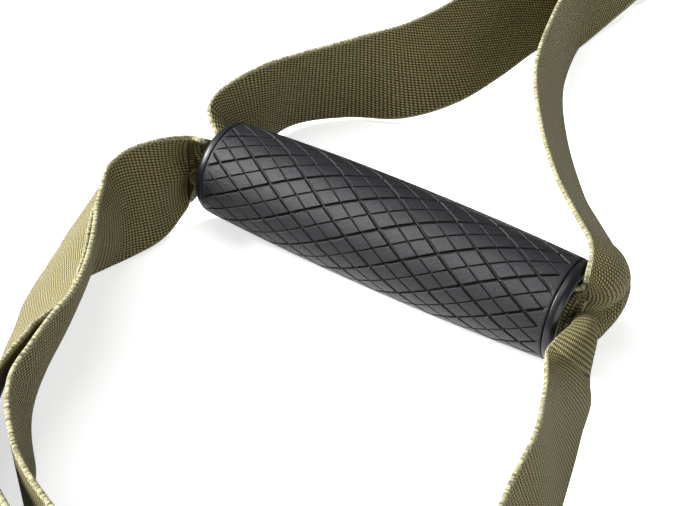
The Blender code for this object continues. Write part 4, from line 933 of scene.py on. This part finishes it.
def anchor_ribbon(pitch):
    """From the seam round the carabiner's bar and back, folded lengthwise more and more towards the bar."""
    half = 1.5 * SEWN_PITCH  # the outer two of the seam's four layers
    end_y = SEWN_START_Y + SEWN_LENGTH
    turn_y = CARABINER_Y + LOOP_TURN_OFFSET
    lead_y = turn_y - ANCHOR_LEAD
    low_z = LOOP_Z - LOOP_TURN_RADIUS
    high_z = LOOP_Z + LOOP_TURN_RADIUS
    begin = (MIRROR_X - half, SEWN_START_Y, STANDING_HEIGHT, 0, 0, 1, 0)
    end = (MIRROR_X + half, SEWN_START_Y, STANDING_HEIGHT, 0, 0, 1, 0)
    stations = [
        (MIRROR_X - half, end_y, STANDING_HEIGHT, 0, 0, 1, 0),
        (MIRROR_X - half, end_y + ANCHOR_TWIST_START, STANDING_HEIGHT * 0.80, -0.72, 0, 0.7, 0),
        (MIRROR_X, end_y + ANCHOR_TWIST_END, (low_z + STANDING_HEIGHT / 2) / 2, -0.98, 0, 0.2, 0),
        flat_station(lead_y, low_z, MIRROR_X),
    ]
    stations += turn(turn_y, LOOP_Z, LOOP_TURN_RADIUS, -90, 90, LOOP_STEPS, MIRROR_X)
    stations += [
        flat_station(lead_y, high_z, MIRROR_X),
        (MIRROR_X, end_y + ANCHOR_TWIST_END, high_z, -0.98, 0, 0.2, 0),
        (MIRROR_X + half, end_y + ANCHOR_TWIST_START, STANDING_HEIGHT, -0.60, 0, 0.8, 0),
        (MIRROR_X + half, end_y, STANDING_HEIGHT, 0, 0, 1, 0),
    ]
    first = straight([begin, stations[0]], pitch)[:-1]
    last = straight([stations[-1], end], pitch)[1:]
    samples = np.concatenate([first, flow(stations, pitch), last])
    share = np.clip((samples[:, 1] - end_y) / (lead_y - end_y), 0, 1)
    width = WEB_WIDTH * (1 + (FOLDED_WIDTH_SHARE - 1) * share)
    thickness = WEB_THICKNESS * (1 + (FOLDED_THICKNESS_SHARE - 1) * share)
    return Ribbon(curled(samples, width=width), thickness=thickness)


def strap(ribbon, name, side, node, scallop=0.0):
    obj = ribbon.mesh(name, side, scallop)
    dressed(obj, "webbing", "webbing_olive", node)


LOOSE_STRAPS = {"hand_loop": hand_ribbon, "foot_strap": foot_ribbon, "heel_strap": heel_ribbon}

for side in (1, 2):
    pitch, scallop = (NEAR_PITCH, SCALLOP) if side == 1 else (FAR_PITCH, 0.0)
    for piece, ribbon_at in LOOSE_STRAPS.items():
        strap(ribbon_at(pitch), f"{piece}_webbing_{side}", side, f"{piece}_{side}", scallop)
    strap(main_ribbon(FAR_PITCH), f"main_strap_webbing_{side}", side, f"main_strap_{side}")
strap(anchor_ribbon(FAR_PITCH), "anchor_loop_webbing", 1, "anchor_loop")


# Grips


def groove_steps():
    """Places of mesh lines between a wide groove at 0, a thin one at 1 and the next wide one at 2."""
    wide = [s * WIDE_GROOVE_HALF / SPACING for s in GROOVE_SHARES]
    thin = [s * THIN_GROOVE_HALF / SPACING for s in GROOVE_SHARES]
    first = [*wide, *BETWEEN_GROOVES, *(1 - s for s in reversed(thin[1:]))]
    second = [1 + s for s in (*thin, *BETWEEN_GROOVES)] + [2 - s for s in reversed(wide[1:])]
    return np.array(first + second)


def smooth(value, low, high):
    t = np.clip((value - low) / (high - low), 0, 1)
    return t * t * (3 - 2 * t)


def groove_depth(i, j):
    """Depth of the sleeve's grooves at lattice places i, j. Lines i and j are wide at 0 and 1 modulo 2."""
    row = j - i
    run_out = smooth(row, -GROOVE_END, GROOVE_END * GROOVE_OVERRUN)
    run_out = run_out * (1 - smooth(row, LAST_ROW, LAST_ROW + GROOVE_END))
    depth = np.zeros(np.broadcast(i, j).shape)
    for place, wide_at in ((i, 0), (j, 1)):
        line = np.round(place)
        wide = (line.astype(int) % 2) == wide_at
        half = np.where(wide, WIDE_GROOVE_HALF, THIN_GROOVE_HALF) / SPACING
        full = np.where(wide, WIDE_GROOVE_DEPTH, THIN_GROOVE_DEPTH)
        share = 1 - smooth(np.abs(place - line), GROOVE_FLOOR * half, half)
        depth = np.maximum(depth, full * share * run_out)
    return depth


def lattice_faces():
    """Index pairs and quads of a lattice wound once round the grip, as offsets along i and j."""
    steps_i = groove_steps()
    steps_j = np.sort((groove_steps() + 1) % 2)
    per = len(steps_i)
    total = per * (LINES_PER_FAMILY // 2)

    def value(steps, n):
        return steps[n % per] + 2 * (n // per)

    low_b = -2 * per
    high_b = total + per * (int(LAST_ROW / 2) + 3)
    i_at = np.array([value(steps_i, n) for n in range(total + 1)])
    b_all = np.arange(low_b, high_b + 1)
    j_at = np.array([value(steps_j, n) for n in b_all])
    index = {}
    places = []
    faces = []

    def vertex(a, b):
        if a >= total:
            a, b = a - total, b - total
        key = (a, b)
        if key not in index:
            index[key] = len(places)
            places.append((value(steps_i, a), value(steps_j, b)))
        return index[key]

    for a in range(total):
        rows = j_at - i_at[a]
        inside = np.where((rows > -ROW_MARGIN) & (rows < LAST_ROW + ROW_MARGIN))[0]
        for n in inside[:-1]:
            b = int(b_all[n])
            faces.append([vertex(a, b), vertex(a + 1, b), vertex(a + 1, b + 1), vertex(a, b + 1)])
    return np.array(places), faces


LATTICE = lattice_faces()


def finish_ends(work):
    """Cuts the sleeve to its length, rounds its rims and closes it along the core tube."""
    end = SLEEVE_LENGTH / 2
    for sign in (1, -1):
        bmesh.ops.bisect_plane(
            work,
            geom=[*work.verts, *work.edges, *work.faces],
            plane_co=(sign * (end - RIM), 0, 0),
            plane_no=(sign, 0, 0),
            clear_outer=True,
        )
    steps = [(end - back * RIM, SLEEVE_END_RADIUS - RIM * inwards) for back, inwards in RIM_STEPS]
    steps.append((end, CORE_OUTER_RADIUS + CLEARANCE))
    rims = []
    for sign in (1, -1):
        rim = [e for e in work.edges if e.is_boundary and e.verts[0].co.x * sign > 0]
        for x, radius in steps:
            made = bmesh.ops.extrude_edge_only(work, edges=rim)["geom"]
            rim = [e for e in made if isinstance(e, bmesh.types.BMEdge) and e.is_boundary]
            for v in {v for e in rim for v in e.verts}:
                away = math.hypot(v.co.y, v.co.z - AXIS_HEIGHT)
                v.co.x = sign * x
                v.co.y *= radius / away
                v.co.z = AXIS_HEIGHT + (v.co.z - AXIS_HEIGHT) * radius / away
        rims += rim
    bmesh.ops.bridge_loops(work, edges=rims)
    bmesh.ops.recalc_face_normals(work, faces=work.faces)


def build_sleeve(side):
    places, faces = LATTICE
    i, j = places[:, 0], places[:, 1]
    depth = groove_depth(i, j)
    x = PATTERN_LENGTH / 2 - (j - i) * ROW_PITCH
    angle = FIRST_TIP_ANGLE + (i + j) * HALF_STEP
    share = np.abs(x) / (SLEEVE_LENGTH / 2)
    radius = SLEEVE_MIDDLE_RADIUS - (SLEEVE_MIDDLE_RADIUS - SLEEVE_END_RADIUS) * share**2
    radius = radius - depth
    points = np.stack([x, -radius * np.cos(angle), AXIS_HEIGHT + radius * np.sin(angle)], axis=-1)
    obj = make_object(f"grip_rubber_{side}", points, faces, RUBBER)
    # Depth shares of the grooves, which the rubber uses to paint shade into them.
    share = np.clip(depth / THIN_GROOVE_DEPTH, 0, 1)
    obj.data.attributes.new("groove", "FLOAT", "POINT").data.foreach_set("value", share.astype(np.float32))
    work = bmesh.new()
    work.from_mesh(obj.data)
    finish_ends(work)
    for face in work.faces:
        face.smooth = True
    work.to_mesh(obj.data)
    work.free()
    coordinates = np.empty(len(obj.data.vertices) * 3)
    obj.data.vertices.foreach_get("co", coordinates)
    obj.data.vertices.foreach_set("co", placed(coordinates.reshape(-1, 3), side).ravel())
    obj.data.update()
    outward(obj)
    dressed(obj, f"grip_{side}", "rubber_black", f"grip_sleeve_{side}")


def build_cap(side, sign):
    """An end cap turned from its section: corners as x, radius from the axis and rounding."""
    start = SLEEVE_LENGTH / 2 + CLEARANCE
    face = start + CAP_OVERHANG
    corners = (
        (start, CAP_SPIGOT_RADIUS, 0),
        (start, CAP_RADIUS, 0.0005),
        (start + 0.55 * CAP_OVERHANG, CAP_RADIUS, 0.0016),
        (face, CAP_MOUTH_RADIUS + 0.0006, 0.0013),
        (face - 0.0004, CAP_MOUTH_RADIUS - 0.0010, 0.0009),
        (start + 0.2 * CAP_OVERHANG, CAP_BORE_RADIUS + 0.0006, 0.0014),
        (start - 0.8 * CAP_OVERHANG, CAP_BORE_RADIUS, 0.0010),
        (start - CAP_SPIGOT_LENGTH, CAP_BORE_RADIUS, 0),
        (start - CAP_SPIGOT_LENGTH, CAP_SPIGOT_RADIUS, 0),
    )
    outline = [(sign * x, r) for x, r in rounded_outline(corners, CAP_CORNER_STEPS)]
    points, faces = turned(outline, CAP_SIDES)
    where = "right" if sign > 0 else "left"
    obj = make_object(f"grip_cap_{where}_{side}", placed(points, side), faces, CAP)
    outward(obj)
    dressed(obj, f"grip_{side}", "plastic_black", f"end_cap_{where}_{side}")


for side in (1, 2):
    build_sleeve(side)
    build_cap(side, 1)
    build_cap(side, -1)


# Hardware


def build_ring(side):
    half_x = RING_INNER_WIDTH / 2 + RING_WIRE_RADIUS
    half_y = RING_INNER_LENGTH / 2 + RING_WIRE_RADIUS
    centre_y = RING_NEAR_Y + RING_PITCH_Y / 2
    path = rounded_box_path(half_x, half_y, RING_CORNER)
    dense = []
    for (x0, y0), (x1, y1) in zip(path, path[1:] + path[:1]):
        pieces = max(1, round(math.hypot(x1 - x0, y1 - y0) / WIRE_PITCH))
        dense += [(x0 + (x1 - x0) * n / pieces, y0 + (y1 - y0) * n / pieces) for n in range(pieces)]
    points, faces = wire([(STRAP_X + x, centre_y + y, RING_Z) for x, y in dense], RING_WIRE_RADIUS)
    obj = outward(make_object(f"ring_steel_{side}", placed(points, side), faces, STEEL))
    dressed(obj, "webbing", "steel", f"ring_link_{side}")


def build_tie(side):
    top = HANK_BASE + (HANK_LAYERS - 1) * HANK_PITCH + WEB_THICKNESS / 2
    half_z = (top + CLEARANCE + TIE_THICKNESS) / 2
    half_x = WEB_WIDTH / 2 + 2 * CLEARANCE + TIE_THICKNESS
    centre = HANK_START_Y + HANK_LENGTH / 2
    outer = rounded_box_path(half_x, half_z, TIE_CORNER)
    inner = rounded_box_path(half_x - TIE_THICKNESS, half_z - TIE_THICKNESS, TIE_CORNER - TIE_THICKNESS)
    grid = []
    for (ox, oz), (ix, iz) in zip(outer, inner):
        ring = []
        for share, skin in TIE_SECTION:
            x = ix + (ox - ix) * skin
            z = iz + (oz - iz) * skin
            ring.append((STRAP_X + x, centre + share * TIE_WIDTH, half_z + z))
        grid.append(ring)
    points, faces = tube(np.array(grid))
    obj = outward(make_object(f"tie_elastic_{side}", placed(points, side), faces, ELASTIC))
    dressed(obj, "webbing", "elastic_black", f"hank_tie_{side}")


for side in (1, 2):
    build_ring(side)
    build_tie(side)

MATERIALS = {
    "core_tube": CORE,
    "buckle_frame": BLACKENED,
    "buckle_cam": BLACKENED,
    "cam_pin": STEEL,
    "cam_spring": STEEL,
    "carabiner_body": STEEL,
    "carabiner_gate": STEEL,
    "gate_pin": BLACKENED,
}
for name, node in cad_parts.items():
    for start, material in MATERIALS.items():
        if name.startswith(start):
            node.data.materials.clear()
            node.data.materials.append(material)


# Stage, light and camera


def any_ray(tree, *kinds):
    """A socket that is 1 on rays of the given kinds and 0 on others."""
    rays = tree.nodes.new("ShaderNodeLightPath")
    seen = rays.outputs[f"Is {kinds[0]} Ray"]
    for kind in kinds[1:]:
        either = tree.nodes.new("ShaderNodeMath")
        either.operation = "MAXIMUM"
        tree.links.new(seen, either.inputs[0])
        tree.links.new(rays.outputs[f"Is {kind} Ray"], either.inputs[1])
        seen = either.outputs[0]
    return seen


def floor_material():
    """White to the camera and to reflections, where it is lit, with the object's shadow kept."""
    g = Graph("pale_floor")
    g.set(Base_Color=FLOOR_GREY, Roughness=0.9, Specular_IOR_Level=0.1)
    glow = g.node("ShaderNodeEmission")
    glow.inputs["Color"].default_value = WHITE
    glow.inputs["Strength"].default_value = FLOOR_GLOW
    both = g.node("ShaderNodeAddShader")
    chosen = g.node("ShaderNodeMixShader")
    link = g.tree.links.new
    link(g.shader.outputs[0], both.inputs[0])
    link(glow.outputs[0], both.inputs[1])
    link(any_ray(g.tree, "Camera", "Glossy", "Transmission"), chosen.inputs[0])
    link(g.shader.outputs[0], chosen.inputs[1])
    link(both.outputs[0], chosen.inputs[2])
    link(chosen.outputs[0], g.tree.nodes["Material Output"].inputs[0])
    return g.material


def build_floor():
    half = FLOOR_SIZE / 2
    corners = [(-half, -half, 0), (half, -half, 0), (half, half, 0), (-half, half, 0)]
    floor = make_object("floor", corners, [[0, 1, 2, 3]], floor_material())


def build_world():
    """A plain weak light, seen as white by the camera and through clear things."""
    world = bpy.data.worlds.new("studio")
    bpy.context.scene.world = world
    world.use_nodes = True
    tree = world.node_tree
    light = tree.nodes["Background"]
    light.inputs["Color"].default_value = WHITE
    light.inputs["Strength"].default_value = WORLD_STRENGTH
    white = tree.nodes.new("ShaderNodeBackground")
    white.inputs["Color"].default_value = WHITE
    mixer = tree.nodes.new("ShaderNodeMixShader")
    link = tree.links.new
    link(any_ray(tree, "Camera", "Transmission"), mixer.inputs[0])
    link(light.outputs[0], mixer.inputs[1])
    link(white.outputs[0], mixer.inputs[2])
    link(mixer.outputs[0], tree.nodes["World Output"].inputs[0])


def add_aimed(name, data, offset, direction):
    """A lamp or camera, placed from the grip's middle, that looks in the direction."""
    obj = add_object(name, data)
    obj.location = Vector(GRIP_CENTRE.tolist()) + offset
    obj.rotation_mode = "QUATERNION"
    obj.rotation_quaternion = direction.to_track_quat("-Z", "Y")
    return obj


def add_lamp(name, direction, distance, size, power):
    """A square soft lamp that faces the grip."""
    right, up, near = direction
    towards = (RIGHT * right + UP * up - FORWARD * near).normalized()
    lamp = bpy.data.lights.new(name, "AREA")
    lamp.shape = "SQUARE"
    lamp.size = size
    lamp.energy = power
    add_aimed(name, lamp, towards * distance, -towards)


def add_camera():
    """The photograph's camera, fitted to the grip."""
    camera = bpy.data.cameras.new("camera")
    camera.lens = SENSOR_WIDTH_MM * FOCAL_PIXELS / PICTURE_WIDTH_PIXELS
    camera.sensor_width = SENSOR_WIDTH_MM
    camera.clip_start = 0.01
    camera.clip_end = 50
    bpy.context.scene.camera = add_aimed("camera", camera, CAMERA_FROM_GRIP, FORWARD)


build_floor()
build_world()
for lamp in LAMPS:
    add_lamp(*lamp)
add_camera()
bpy.context.scene.view_settings.view_transform = "Standard"
